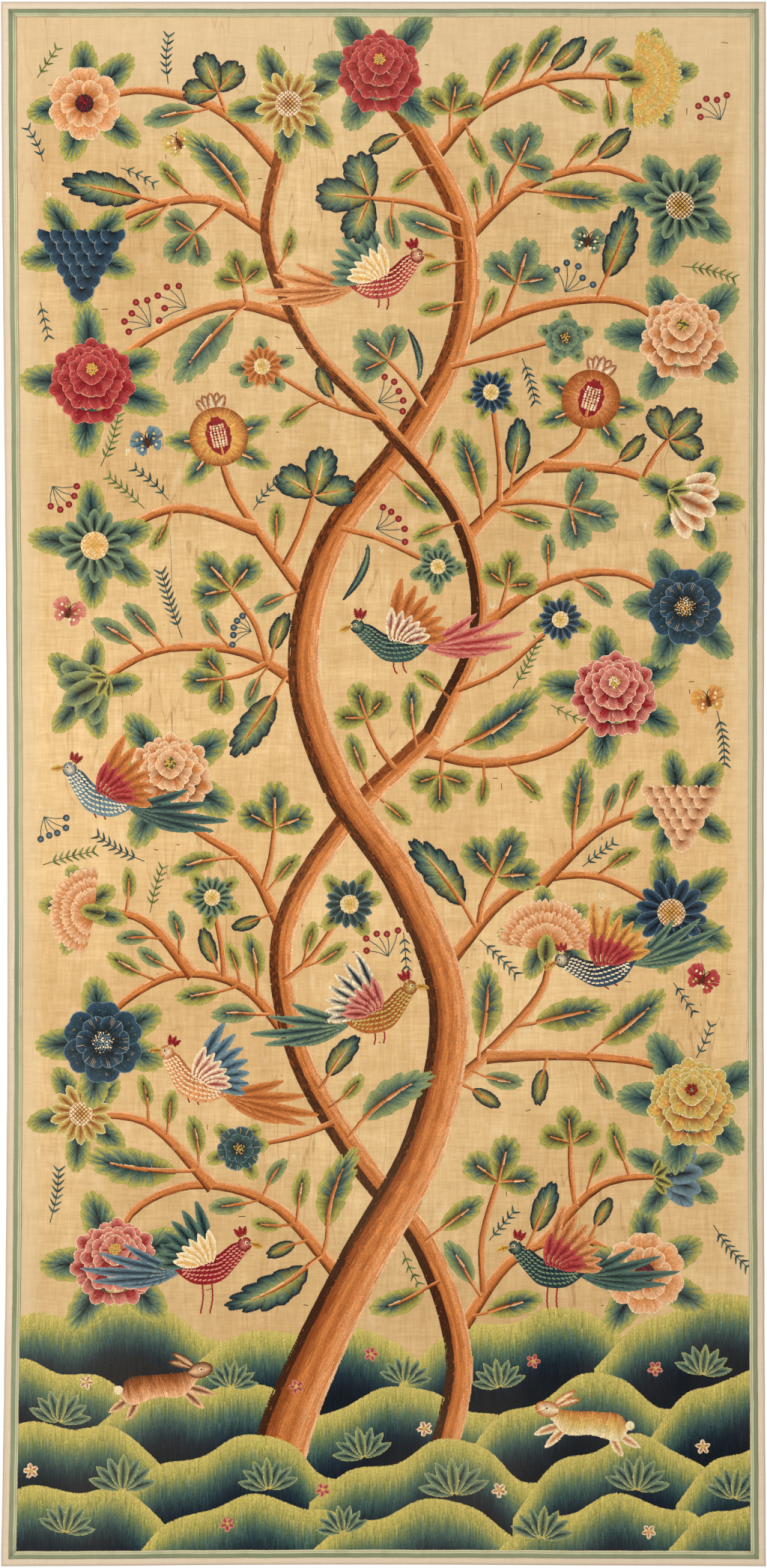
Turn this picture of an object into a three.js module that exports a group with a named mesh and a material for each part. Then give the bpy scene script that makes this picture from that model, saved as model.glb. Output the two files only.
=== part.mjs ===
// Crewel embroidery panel, hanging from its top edge.
// A linen backing with a turned hem carries the embroidered ground cloth, and four lengths of woven
// tape, mitred at the corners, cover the ground's raw edges and the hem's inner fold.
// Millimetres, +Z up. The worked face looks along -Y.
// The origin is the middle of the top edge, in the plane of the wall that the back hangs against.

import * as THREE from 'three';
import { mergeVertices } from 'three/addons/utils/BufferGeometryUtils.js';

// Driving sizes
const WIDTH = 1124;
const HEIGHT = 2300;
const HEM_WIDTH = 14;
const TAPE_WIDTH = 12;
const TAPE_INSET = 10.5;
const FIT_GAP = 0.3;
const GROUND_EDGE_GAP = 0.6;

// Layers, measured forward from the wall
const BACKING_THICKNESS = 1.5;
const HEM_THICKNESS = 3.0;
const GROUND_BACK = BACKING_THICKNESS + FIT_GAP;
const GROUND_FRONT = HEM_THICKNESS;
const TAPE_BACK = HEM_THICKNESS + FIT_GAP;
const TAPE_THICKNESS = 0.9;

// The outline: how far the cut edges have drawn in between the corners
const LEFT_DRAWN_IN = 9.5;
const RIGHT_DRAWN_IN = 3.5;
const BOTTOM_DRAWN_UP = 2.5;
const DRAWN_LOWER = 1.35;

// Grid of the cloth between the hems, and of the tape
const FIELD_COLUMNS = 22;
const FIELD_ROWS = 40;
const TAPE_ROWS = 2;
const BOX_BACK_FACE = 2;

// The top band lies flat on the wall, and the ripples grow below it
const FLAT_BAND = 70;
const RIPPLES_GROW_OVER = 160;

// The hem's section from the outer fold inwards: inset, and the distances of its two faces from the wall
const HEM_SECTION = [
  { inset: 0.0, back: 0.9, front: 2.1 },
  { inset: 0.8, back: 0.25, front: 2.75 },
  { inset: 2.4, back: 0.0, front: HEM_THICKNESS },
  { inset: HEM_WIDTH - 0.6, back: 0.0, front: HEM_THICKNESS },
  { inset: HEM_WIDTH, back: 0.0, front: BACKING_THICKNESS },
];

// Soft ripples that stand off the wall: middle, lean from the vertical, half sizes and height
const RIPPLES = [
  { x: -470, z: -240, lean: 24, halfLength: 240, halfWidth: 62, height: 2.6 },
  { x: -300, z: -640, lean: -8, halfLength: 330, halfWidth: 85, height: 2.2 },
  { x: -420, z: -1280, lean: 6, halfLength: 420, halfWidth: 95, height: 2.8 },
  { x: -150, z: -1040, lean: 5, halfLength: 360, halfWidth: 80, height: 1.9 },
  { x: 40, z: -420, lean: -12, halfLength: 300, halfWidth: 90, height: 1.8 },
  { x: 95, z: -960, lean: 4, halfLength: 300, halfWidth: 60, height: 2.4 },
  { x: 395, z: -260, lean: 7, halfLength: 200, halfWidth: 60, height: 2.9 },
  { x: 480, z: -860, lean: -5, halfLength: 380, halfWidth: 75, height: 2.5 },
  { x: 300, z: -1330, lean: 10, halfLength: 340, halfWidth: 85, height: 2.1 },
  { x: -60, z: -1720, lean: -6, halfLength: 380, halfWidth: 110, height: 2.3 },
  { x: -380, z: -2120, lean: 3, halfLength: 300, halfWidth: 120, height: 3.0 },
  { x: 250, z: -2150, lean: -4, halfLength: 300, halfWidth: 130, height: 3.2 },
];

// Share of a side's draw-in at this depth below the top, 0 at both corners
function drawnIn(depth) {
  return Math.sin(Math.PI * Math.pow(depth, DRAWN_LOWER));
}

// How far the hanging cloth stands off the wall
function standOff(x, z) {
  const grown = THREE.MathUtils.smoothstep(-z, FLAT_BAND, FLAT_BAND + RIPPLES_GROW_OVER);
  let sum = 0;
  for (const ripple of RIPPLES) {
    const lean = THREE.MathUtils.degToRad(ripple.lean);
    const dx = x - ripple.x;
    const dz = z - ripple.z;
    const across = (dx * Math.cos(lean) - dz * Math.sin(lean)) / ripple.halfWidth;
    const along = (dx * Math.sin(lean) + dz * Math.cos(lean)) / ripple.halfLength;
    sum += ripple.height * Math.exp(-across * across - along * along);
  }
  return grown * sum;
}

// A point of the flat cut as it hangs: x from the middle, z from the top, and the distance from the wall
function hung(x, z, forward) {
  const right = THREE.MathUtils.clamp(x / WIDTH + 0.5, 0, 1);
  const depth = THREE.MathUtils.clamp(-z / HEIGHT, 0, 1);
  const pulled = drawnIn(depth) * (LEFT_DRAWN_IN * (1 - right) - RIGHT_DRAWN_IN * right);
  const raised = BOTTOM_DRAWN_UP * Math.sin(Math.PI * right) * depth;
  return new THREE.Vector3(x + pulled, -forward - standOff(x, z), z + raised);
}

// Equal steps from one value to another
function steps(from, to, count) {
  return Array.from({ length: count + 1 }, (_, i) => THREE.MathUtils.lerp(from, to, i / count));
}

// A box cuts the quads of its two broad faces along opposite diagonals.
// This turns the cuts of the back, so that sheets on one grid lie parallel.
function matchDiagonals(geometry) {
  const back = geometry.groups[BOX_BACK_FACE];
  const index = geometry.index;
  for (let quad = back.start; quad < back.start + back.count; quad += 6) {
    const first = index.getX(quad);
    const opposite = index.getX(quad + 4);
    index.setX(quad + 2, opposite);
    index.setX(quad + 3, first);
  }
}

// A closed sheet on a grid of columns and rows: place(column, row, onFront) gives each point
function sheetGeometry(columns, rows, place) {
  const box = new THREE.BoxGeometry(1, 1, 1, columns, 1, rows);
  box.deleteAttribute('normal');
  box.deleteAttribute('uv');
  const geometry = mergeVertices(box);
  matchDiagonals(geometry);
  const position = geometry.attributes.position;
  for (let i = 0; i < position.count; i++) {
    const column = Math.round((position.getX(i) + 0.5) * columns);
    const row = Math.round((position.getZ(i) + 0.5) * rows);
    const point = place(column, row, position.getY(i) < 0);
    position.setXYZ(i, point.x, point.y, point.z);
  }
  return geometry;
}

// Grid lines of the field, shared by the backing and the ground so that they lie parallel
const fieldInset = HEM_WIDTH + GROUND_EDGE_GAP;
const fieldColumns = steps(-WIDTH / 2 + fieldInset, WIDTH / 2 - fieldInset, FIELD_COLUMNS);
const fieldRows = steps(-HEIGHT + fieldInset, -fieldInset, FIELD_ROWS);

// Grid lines across the whole backing: the hem's section, the field, and the hem again
function backingLines(low, high, field) {
  const insets = HEM_SECTION.map((line) => line.inset);
  const lowHem = insets.map((inset) => low + inset);
  const highHem = insets.toReversed().map((inset) => high - inset);
  return [...lowHem, ...field, ...highHem];
}

// The hem's faces at a distance from the nearest edge, and the plain backing further in
function backingFaces(inset) {
  const line = HEM_SECTION.find((section) => inset <= section.inset + FIT_GAP / 2);
  return line ?? { back: 0, front: BACKING_THICKNESS };
}

function backingGeometry() {
  const columns = backingLines(-WIDTH / 2, WIDTH / 2, fieldColumns);
  const rows = backingLines(-HEIGHT, 0, fieldRows);
  return sheetGeometry(columns.length - 1, rows.length - 1, (column, row, onFront) => {
    const x = columns[column];
    const z = rows[row];
    const inset = Math.min(x + WIDTH / 2, WIDTH / 2 - x, -z, z + HEIGHT);
    const faces = backingFaces(inset);
    return hung(x, z, onFront ? faces.front : faces.back);
  });
}

function groundGeometry() {
  return sheetGeometry(FIELD_COLUMNS, FIELD_ROWS, (column, row, onFront) =>
    hung(fieldColumns[column], fieldRows[row], onFront ? GROUND_FRONT : GROUND_BACK));
}

// One length of tape along a side of the panel, its ends cut at 45 degrees.
// place(along, inset) puts a point of the strip on its side.
function tapeGeometry(run, place) {
  return sheetGeometry(run.lengthSteps, TAPE_ROWS, (column, row, onFront) => {
    const inset = TAPE_INSET + TAPE_WIDTH * (1 - row / TAPE_ROWS);
    const reach = run.halfLength - inset - FIT_GAP;
    const along = THREE.MathUtils.lerp(-reach, reach, column / run.lengthSteps);
    const [x, z] = place(along, inset);
    return hung(x, z, TAPE_BACK + (onFront ? TAPE_THICKNESS : 0));
  });
}

// A strip laid out by tapeGeometry runs left to right with its outer edge up.
// The other three sides turn that layout by quarter turns, so that faces keep pointing out.
const ACROSS = { halfLength: WIDTH / 2, lengthSteps: FIELD_COLUMNS };
const UPRIGHT = { halfLength: HEIGHT / 2, lengthSteps: FIELD_ROWS };
const TAPE_SIDES = [
  { name: 'tape_top', run: ACROSS, place: (along, inset) => [along, -inset] },
  { name: 'tape_bottom', run: ACROSS, place: (along, inset) => [-along, inset - HEIGHT] },
  { name: 'tape_left', run: UPRIGHT, place: (along, inset) => [inset - WIDTH / 2, along - HEIGHT / 2] },
  { name: 'tape_right', run: UPRIGHT, place: (along, inset) => [WIDTH / 2 - inset, -along - HEIGHT / 2] },
];

// A matt cloth of one colour
function cloth(name, color, roughness) {
  return new THREE.MeshStandardMaterial({ name, color, roughness, metalness: 0 });
}

const linen = cloth('backing_linen', '#e4d2b2', 0.9);
const ground = cloth('worked_ground', '#dfbd88', 0.92);
const tape = cloth('woven_tape', '#98a078', 0.8);

function piece(name, geometry, material) {
  geometry.computeVertexNormals();
  const mesh = new THREE.Mesh(geometry, material);
  mesh.name = name;
  return mesh;
}

const panel = new THREE.Group();
panel.name = 'crewel_embroidery_panel';
panel.add(piece('backing', backingGeometry(), linen));
panel.add(piece('ground_cloth', groundGeometry(), ground));
for (const side of TAPE_SIDES) {
  panel.add(piece(side.name, tapeGeometry(side.run, side.place), tape));
}

export default panel;
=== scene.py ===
# %% [markdown]
# # A crewel embroidery panel
# The object is a tall hanging: a linen ground worked in crewel wool, laid on a linen backing whose turned
# hem shows as a cream band, with striped tape sewn over the join. It hangs from its top edge. The packed
# solids give its true shape and size. This script dresses them: each cloth is made again as a finer sheet,
# and then sewn, stitch by stitch, with a flowering tree.

# %% The frame
from collections import namedtuple

import bpy
import numpy as np
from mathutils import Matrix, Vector


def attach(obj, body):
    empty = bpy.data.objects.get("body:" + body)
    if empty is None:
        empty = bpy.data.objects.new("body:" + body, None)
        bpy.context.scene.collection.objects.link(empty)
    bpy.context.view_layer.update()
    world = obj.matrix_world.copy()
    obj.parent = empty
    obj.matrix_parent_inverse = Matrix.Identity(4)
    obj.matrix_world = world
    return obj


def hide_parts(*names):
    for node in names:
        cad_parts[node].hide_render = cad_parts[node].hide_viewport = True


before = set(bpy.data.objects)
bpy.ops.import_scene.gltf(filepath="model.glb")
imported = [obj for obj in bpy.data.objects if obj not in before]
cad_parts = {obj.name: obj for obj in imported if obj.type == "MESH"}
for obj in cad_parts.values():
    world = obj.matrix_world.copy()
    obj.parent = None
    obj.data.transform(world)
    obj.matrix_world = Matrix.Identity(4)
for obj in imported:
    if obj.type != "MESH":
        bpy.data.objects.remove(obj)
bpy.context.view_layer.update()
print("solids in the frame:", len(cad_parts))

# %% [markdown]
# ## How the cloth hangs
# A sewn panel is never a true rectangle: its long sides have drawn in between the corners, and the cloth
# stands off the wall in soft ripples. A cloth simulation could give such ripples, but not the same ones as
# the solids. So the shape is a formula, the same one that shapes the solids, and every sheet and every
# stitch goes through it.

# %% Sizes in millimetres, and the hanging shape
MM = 0.001
WIDTH = 1124
HEIGHT = 2300
HEM_WIDTH = 14.0
TAPE_INSET = 10.5
TAPE_WIDTH = 12.0
EDGE_GAP = 0.6
BACKING_FRONT = 1.5
HEM_FRONT = 3.0
GROUND_BACK = 1.8
GROUND_FRONT = 3.0
TAPE_BACK = 3.3
TAPE_FRONT = 4.2
LEFT_DRAWN_IN = 9.5
RIGHT_DRAWN_IN = 3.5
BOTTOM_DRAWN_UP = 2.5
DRAWN_LOWER = 1.35
FLAT_BAND = 70.0
RIPPLES_GROW_OVER = 160.0

Ripple = namedtuple("Ripple", "x z lean half_length half_width height")
RIPPLES = [
    Ripple(-470, -240, 24, 240, 62, 2.6),
    Ripple(-300, -640, -8, 330, 85, 2.2),
    Ripple(-420, -1280, 6, 420, 95, 2.8),
    Ripple(-150, -1040, 5, 360, 80, 1.9),
    Ripple(40, -420, -12, 300, 90, 1.8),
    Ripple(95, -960, 4, 300, 60, 2.4),
    Ripple(395, -260, 7, 200, 60, 2.9),
    Ripple(480, -860, -5, 380, 75, 2.5),
    Ripple(300, -1330, 10, 340, 85, 2.1),
    Ripple(-60, -1720, -6, 380, 110, 2.3),
    Ripple(-380, -2120, 3, 300, 120, 3.0),
    Ripple(250, -2150, -4, 300, 130, 3.2),
]


def bump(x, z, row):
    """One ripple: a Gauss bell, long along its own line and narrow across it."""
    lean = np.radians(row.lean)
    across = ((x - row.x) * np.cos(lean) - (z - row.z) * np.sin(lean)) / row.half_width
    along = ((x - row.x) * np.sin(lean) + (z - row.z) * np.cos(lean)) / row.half_length
    return row.height * np.exp(-across ** 2 - along ** 2)


def hung(x, z, forward):
    """A point of the flat cut as it hangs, in metres. The sides draw in as a sine of the depth, the lower
    edge draws up in the middle, and the ripples, which grow below the flat top band, add to the distance
    forward."""
    right = np.clip(x / WIDTH + 0.5, 0, 1)
    depth = np.clip(-z / HEIGHT, 0, 1)
    pulled = np.sin(np.pi * depth ** DRAWN_LOWER) * (LEFT_DRAWN_IN * (1 - right) - RIGHT_DRAWN_IN * right)
    raised = BOTTOM_DRAWN_UP * np.sin(np.pi * right) * depth
    grown = np.clip((-z - FLAT_BAND) / RIPPLES_GROW_OVER, 0, 1)
    off = sum(bump(x, z, row) for row in RIPPLES) * grown ** 2 * (3 - 2 * grown)
    return MM * np.stack([x + pulled, -forward - off, z + raised], -1)


print("deepest ripple, mm:", max(row.height for row in RIPPLES))

# %% [markdown]
# ## A sheet with two faces
# Cloth is thin but not paper-thin, so each sheet is two grids of points, a front and a back, joined round
# the rim. Solidify would do the same to one grid, but here the front can have creases that the hidden back
# lacks. The bake map lays the front and the back side by side, so that a baked picture of the cloth isn't
# mirrored.

# %% Mesh helpers
BAKE_ACROSS = (0.01, 0.47)
BAKE_UP = (0.01, 0.99)
BAKE_BACK = (0.51, 0)
BAKE_RIM = (0.984, 0.996, 0.996, 0.984)


def make_mesh(name, points, corners, starts):
    """A mesh object from whole arrays: the points, the corner list, and where in it each face starts."""
    mesh = bpy.data.meshes.new(name)
    mesh.vertices.add(len(points))
    mesh.vertices.foreach_set("co", points.astype(np.float32).ravel())
    mesh.loops.add(len(corners))
    mesh.loops.foreach_set("vertex_index", corners.astype(np.int32))
    mesh.polygons.add(len(starts))
    mesh.polygons.foreach_set("loop_start", starts.astype(np.int32))
    mesh.update(calc_edges=True)
    mesh.polygons.foreach_set("use_smooth", np.ones(len(starts), bool))
    made = bpy.data.objects.new(name, mesh)
    bpy.context.scene.collection.objects.link(made)
    return made


def add_uv(piece, name, corner_uv):
    """A UV map from one (u, v) for each face corner."""
    layer = piece.data.uv_layers.new(name=name)
    layer.data.foreach_set("uv", corner_uv.astype(np.float32).ravel())


def sheet_mesh(name, front, back, cut):
    """A closed sheet. front and back are grids of points (rows up, columns to the right), and cut is the same
    grid on the flat cloth, in metres, for a UV map that weaves and stripes follow."""
    rows, columns = front.shape[:2]
    index = np.arange(rows * columns).reshape(rows, columns)
    quads = np.stack([index[:-1, :-1], index[:-1, 1:], index[1:, 1:], index[1:, :-1]], -1).reshape(-1, 4)
    loop = np.concatenate([index[0, :-1], index[:-1, -1], index[-1, :0:-1], index[:0:-1, 0]])
    ahead = np.roll(loop, -1)
    behind = rows * columns
    rim = np.stack([loop, loop + behind, ahead + behind, ahead], -1)
    faces = np.concatenate([quads, quads[:, ::-1] + behind, rim])
    points = np.concatenate([front.reshape(-1, 3), back.reshape(-1, 3)])
    made = make_mesh(name, points, faces.ravel(), np.arange(len(faces)) * 4)
    place = np.stack(np.meshgrid(np.linspace(*BAKE_ACROSS, columns), np.linspace(*BAKE_UP, rows)), -1)
    spread = np.concatenate([place.reshape(-1, 2), place.reshape(-1, 2) + BAKE_BACK])
    bake = spread[faces.ravel()]
    climb = np.arange(len(loop)) / len(loop)
    strip = np.stack([climb, climb, climb + 1 / len(loop), climb + 1 / len(loop)], -1)
    bake[len(quads) * 8:, 0] = np.tile(BAKE_RIM, len(loop))
    bake[len(quads) * 8:, 1] = strip.ravel()
    add_uv(made, "OFBake", bake)
    add_uv(made, "cut", np.concatenate([cut.reshape(-1, 2)] * 2)[faces.ravel()])
    return made


def steps(low, high, pitch):
    """Evenly spaced values from low to high, no further apart than the pitch."""
    return np.linspace(low, high, int(np.ceil((high - low) / pitch)) + 1)


# %% [markdown]
# ## Shader nodes in plain words
# Materials here are all nodes. A few helpers keep each one short: they add a node, link any input that is a
# socket, and set any input that is a plain value. Effects that several cloths share are node groups: the
# plain weave with its uneven threads, and the blotches and spots of age.

# %% Node helpers
def set_input(tree, socket, value):
    """Links an input to a socket, or sets it to a plain value."""
    if isinstance(value, bpy.types.NodeSocket):
        tree.links.new(value, socket)
    else:
        socket.default_value = value


def node(tree, kind, settings=None, **inputs):
    """A shader node with its settings, and its inputs by name."""
    made = tree.nodes.new("ShaderNode" + kind)
    for name, value in (settings or {}).items():
        setattr(made, name, value)
    for name, value in inputs.items():
        set_input(tree, made.inputs[name.replace("_", " ")], value)
    return made


def calc(tree, operation, *values):
    """A Math node's result."""
    made = node(tree, "Math", {"operation": operation})
    for socket, value in zip(made.inputs, values):
        set_input(tree, socket, value)
    return made.outputs[0]


def blend(tree, factor, first, second, kind="MIX"):
    """Two colours mixed."""
    made = node(tree, "Mix", {"data_type": "RGBA", "blend_type": kind})
    for place, value in zip((0, 6, 7), (factor, first, second)):
        set_input(tree, made.inputs[place], value)
    return made.outputs[2]


def ramp(tree, factor, *stops):
    """A colour ramp through (position, colour) stops, or a mask where the colours are plain numbers."""
    made = node(tree, "ValToRGB", Fac=factor)
    elements = made.color_ramp.elements
    while len(elements) < len(stops):
        elements.new(0.5)
    for element, (position, colour) in zip(elements, stops):
        element.position = position
        element.color = (colour,) * 3 + (1,) if np.isscalar(colour) else colour
    return made.outputs["Color"]


def scaled(tree, vector, scale):
    """Coordinates stretched along each axis."""
    return node(tree, "Mapping", Vector=vector, Scale=scale).outputs[0]


def noise(tree, vector, scale, detail=2.0):
    """A noise texture's value."""
    return node(tree, "TexNoise", Vector=vector, Scale=scale, Detail=detail).outputs["Fac"]


def crossed(tree, vector, close, long):
    """Streaks both ways, as threads lie: noise that is close across each thread and long along it."""
    up = noise(tree, scaled(tree, vector, (close, close, long)), 1.0)
    over = noise(tree, scaled(tree, vector, (long, close, close)), 1.0)
    return calc(tree, "MULTIPLY", calc(tree, "ADD", up, over), 0.5)


def new_group(name, inputs, outputs):
    """An empty node group, with its input and output nodes."""
    tree = bpy.data.node_groups.new(name, "ShaderNodeTree")
    for socket, kind in inputs:
        tree.interface.new_socket(socket, in_out="INPUT", socket_type="NodeSocket" + kind)
    for socket in outputs:
        tree.interface.new_socket(socket, in_out="OUTPUT", socket_type="NodeSocketFloat")
    return tree, tree.nodes.new("NodeGroupInput"), tree.nodes.new("NodeGroupOutput")


def use_group(tree, group, **inputs):
    """A node group placed in a material: its outputs by name."""
    made = tree.nodes.new("ShaderNodeGroup")
    made.node_tree = group
    for name, value in inputs.items():
        set_input(tree, made.inputs[name], value)
    return made.outputs


# %% The shared weave and age groups
weave_inputs = [("Vector", "Vector"), ("Threads", "Float")]
weave, given, result = new_group("plain_weave", weave_inputs, ["Height", "Streak"])
vector = given.outputs["Vector"]
part = node(weave, "SeparateXYZ", Vector=vector).outputs
turns = calc(weave, "MULTIPLY", given.outputs["Threads"], np.pi)
warp = calc(weave, "SINE", calc(weave, "MULTIPLY", part["X"], turns))
weft = calc(weave, "SINE", calc(weave, "MULTIPLY", part["Z"], turns))
cross = calc(weave, "MULTIPLY_ADD", calc(weave, "MULTIPLY", warp, weft), 0.5, 0.5)
streak = crossed(weave, vector, 900, 55)
set_input(weave, result.inputs["Streak"], streak)
height = calc(weave, "MULTIPLY_ADD", streak, 0.7, calc(weave, "MULTIPLY", cross, 0.3))
set_input(weave, result.inputs["Height"], height)

age, given, result = new_group("age", [("Vector", "Vector")], ["Blotch", "Spot", "Grime", "Crack"])
vector = given.outputs["Vector"]
set_input(age, result.inputs["Blotch"], noise(age, vector, 3.2, 4.0))
set_input(age, result.inputs["Spot"], noise(age, vector, 21.0, 3.0))
set_input(age, result.inputs["Grime"], noise(age, scaled(age, vector, (60, 60, 25)), 1.0, 3.0))
wander = noise(age, scaled(age, vector, (26, 26, 4)), 1.0, 3.0)
hairline = ramp(age, calc(age, "ABSOLUTE", calc(age, "SUBTRACT", wander, 0.5)), (0.0, 1.0), (0.012, 0.0))
patchy = ramp(age, noise(age, vector, 5.0, 2.0), (0.5, 0.0), (0.62, 1.0))
set_input(age, result.inputs["Crack"], calc(age, "MULTIPLY", hairline, patchy))
print("shared groups:", weave.name, age.name)

# %% [markdown]
# ## The linen backing
# One length of undyed linen, turned over at every edge. Only its hem shows from the front, as a cream
# band with a soft rolled edge, and all of it shows from behind. The hem could be four strips, but a turned
# hem is the same cloth, so it is one sheet whose section thickens and rounds off near the edge.

# %% The backing
HEM_LINES = np.array([0.0, 0.25, 0.8, 1.6, 2.6, 5.0, 8.0, 11.0, 13.4, 14.0])
FIELD_PITCH = 30.0
ROLL = 2.6
BLUNT = 0.25
HEM_WAVER = 0.35
HEM_STEP = 0.3
PLUMP_WIDTH = 13
PLUMP = 0.25
PLUMP_WAVER = 0.08


def hem_lines(low, high):
    """Grid lines across the backing: close together over the two hems, wide apart between them."""
    field = steps(low + HEM_WIDTH + EDGE_GAP, high - HEM_WIDTH - EDGE_GAP, FIELD_PITCH)
    return np.concatenate([low + HEM_LINES, field, high - HEM_LINES[::-1]])


def waver(along, size):
    """A hand-sewn edge wanders: three sines of unlike lengths."""
    return size * (np.sin(along / 41) + 0.7 * np.sin(along / 17 + 1.3) + 0.5 * np.sin(along / 7.3 + 4.0))


def inset_of(x, z):
    """Distance from the nearest edge of the panel."""
    return np.minimum(np.minimum(x + WIDTH / 2, WIDTH / 2 - x), np.minimum(-z, z + HEIGHT))


def backing_grid():
    """Front and back of the backing. Within the roll the faces follow a quarter round, the hem is two layers
    thick, and further in the cloth is single."""
    x, z = np.meshgrid(hem_lines(-WIDTH / 2, WIDTH / 2), hem_lines(-HEIGHT, 0))
    inset = inset_of(x, z)
    around = np.sqrt(1 - (1 - np.clip((inset + BLUNT) / ROLL, 0, 1)) ** 2)
    front = np.where(inset < HEM_WIDTH - HEM_STEP, HEM_FRONT / 2 + around * HEM_FRONT / 2, BACKING_FRONT)
    back = HEM_FRONT / 2 - around * HEM_FRONT / 2
    loose = np.clip(1 - inset / HEM_WIDTH, 0, 1)
    soft = loose * waver(x + 1.7 * z, HEM_WAVER)
    plump = around * (inset < PLUMP_WIDTH) * (PLUMP + waver(x - z, PLUMP_WAVER))
    return hung(x + soft * np.sign(-x) * 0.5, z, front + plump), hung(x, z, back), np.stack([x, z], -1) * MM


linen_backing = sheet_mesh("linen_backing", *backing_grid())
print("backing faces:", len(linen_backing.data.polygons))


# %% [markdown]
# The linen is matt and pale, with painted shade along the rolled edge, where the cloth turns away. The weave
# group gives the uneven threads, as tone and as height, and the age group the cloudy colour.

# %% Linen finish
def srgb(red, green, blue):
    """A linear colour from the 0 to 255 values that a screen shows."""
    value = np.array([red, green, blue]) / 255
    linear = np.where(value <= 0.04045, value / 12.92, ((value + 0.055) / 1.055) ** 2.4)
    return (*linear.tolist(), 1.0)


def new_material(name, roughness, sheen):
    """A matt cloth material: its tree, the object coordinates, and the shader with a little sheen."""
    made = bpy.data.materials.new(name)
    made.use_nodes = True
    tree = made.node_tree
    shader = tree.nodes["Principled BSDF"]
    shader.inputs["Roughness"].default_value = roughness
    shader.inputs["Specular IOR Level"].default_value = 0.2
    shader.inputs["Sheen Weight"].default_value = sheen
    shader.inputs["Sheen Roughness"].default_value = 0.6
    return made, tree, tree.nodes.new("ShaderNodeTexCoord").outputs["Object"], shader


def set_bump(tree, shader, height, strength, distance):
    """Turns a height into the shader's normal."""
    made = node(tree, "Bump", Height=height, Strength=strength, Distance=distance)
    set_input(tree, shader.inputs["Normal"], made.outputs["Normal"])


linen, tree, vector, shader = new_material("backing_linen_weave", 0.9, 0.1)
cloth = use_group(tree, weave, Vector=vector, Threads=950.0)
old = use_group(tree, age, Vector=vector)
tone = ramp(tree, cloth["Streak"], (0.34, srgb(212, 192, 165)), (0.66, srgb(226, 207, 181)))
tone = blend(tree, ramp(tree, old["Blotch"], (0.42, 0.0), (0.7, 0.35)), tone, srgb(208, 186, 154))
flat = node(tree, "SeparateXYZ", Vector=node(tree, "UVMap", {"uv_map": "cut"}).outputs["UV"]).outputs
from_side = calc(tree, "SUBTRACT", WIDTH / 2 * MM, calc(tree, "ABSOLUTE", flat["X"]))
from_middle = calc(tree, "ADD", flat["Y"], HEIGHT / 2 * MM)
from_end = calc(tree, "SUBTRACT", HEIGHT / 2 * MM, calc(tree, "ABSOLUTE", from_middle))
# Painted shade: the colour darkens within a few millimetres of the outer edge, over the rolled hem.
rolled_edge_shade = ramp(tree, calc(tree, "MINIMUM", from_side, from_end), (0.0, 0.75), (0.0045, 0.0))
set_input(tree, shader.inputs["Base Color"], blend(tree, rolled_edge_shade, tone, srgb(172, 152, 128)))
set_bump(tree, shader, cloth["Height"], 0.5, 0.0004)
linen_backing.data.materials.append(linen)
print("nodes in the linen finish:", len(tree.nodes))

# %% [markdown]
# ## The worked ground
# The ground is an old honey-coloured linen. It has creases where it was folded and pulled, uneven threads,
# pale margins, and clouds of stain. The creases are geometry: soft ridges and troughs placed one by one in
# a table, because noise alone would make cloth look like putty. Threads and stains are the finish. So is a
# painted light: a slow change of brightness with the height, brighter in the middle and darker towards the
# two ends.

# %% The ground's creases and its sheet
GROUND_PITCH = 10.0
COCKLE = 0.18
FREE_OVER = 25
CREASES = [
    Ripple(-448, -150, 42, 60, 9, 1.3),
    Ripple(-425, -170, 38, 70, 8, -1.1),
    Ripple(-470, -120, 47, 50, 9, 1.1),
    Ripple(408, -190, -24, 120, 10, 1.3),
    Ripple(440, -215, -20, 130, 9, -1.1),
    Ripple(470, -240, -15, 110, 11, 1.3),
    Ripple(30, -960, 2, 140, 9, 1.3),
    Ripple(46, -1010, -3, 120, 8, -0.9),
    Ripple(20, -900, 5, 90, 8, 0.9),
    Ripple(405, -1268, 88, 40, 8, 1.4),
    Ripple(330, -1010, 86, 70, 9, 1.1),
    Ripple(-316, -930, 0, 220, 7, 0.9),
    Ripple(475, -115, 0, 90, 7, 0.9),
    Ripple(-180, -420, 84, 90, 10, 1.1),
    Ripple(-80, -730, 92, 110, 9, -0.9),
    Ripple(250, -560, 80, 80, 10, 1.1),
    Ripple(-420, -1560, 10, 160, 12, 1.1),
    Ripple(180, -1620, -14, 140, 12, 1.1),
    Ripple(-120, -1500, 96, 120, 9, -0.9),
    Ripple(420, -1580, 6, 120, 10, 1.3),
]


def creased(x, z):
    """How far the ground's face stands forward of its plain thickness, in millimetres: creases and a faint
    cockle from the pull of the stitches, fading to none under the tape."""
    cockle = COCKLE * (np.sin(x / 23 + 2 * np.sin(z / 61)) + np.sin(z / 27 + 2 * np.sin(x / 53)))
    free = np.clip((inset_of(x, z) - TAPE_INSET - TAPE_WIDTH) / FREE_OVER, 0, 1)
    return free * (cockle + sum(bump(x, z, row) for row in CREASES))


def ground_grid():
    """Front and back of the ground on an even grid: only the front has the creases."""
    inset = HEM_WIDTH + EDGE_GAP
    x, z = np.meshgrid(steps(inset - WIDTH / 2, WIDTH / 2 - inset, GROUND_PITCH),
                       steps(inset - HEIGHT, -inset, GROUND_PITCH))
    front = hung(x, z, GROUND_FRONT + creased(x, z))
    back = hung(x, z, 0 * x + GROUND_BACK)
    return front, back, np.stack([x, z], -1) * MM


worked_ground = sheet_mesh("worked_ground", *ground_grid())
print("ground faces:", len(worked_ground.data.polygons))

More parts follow.
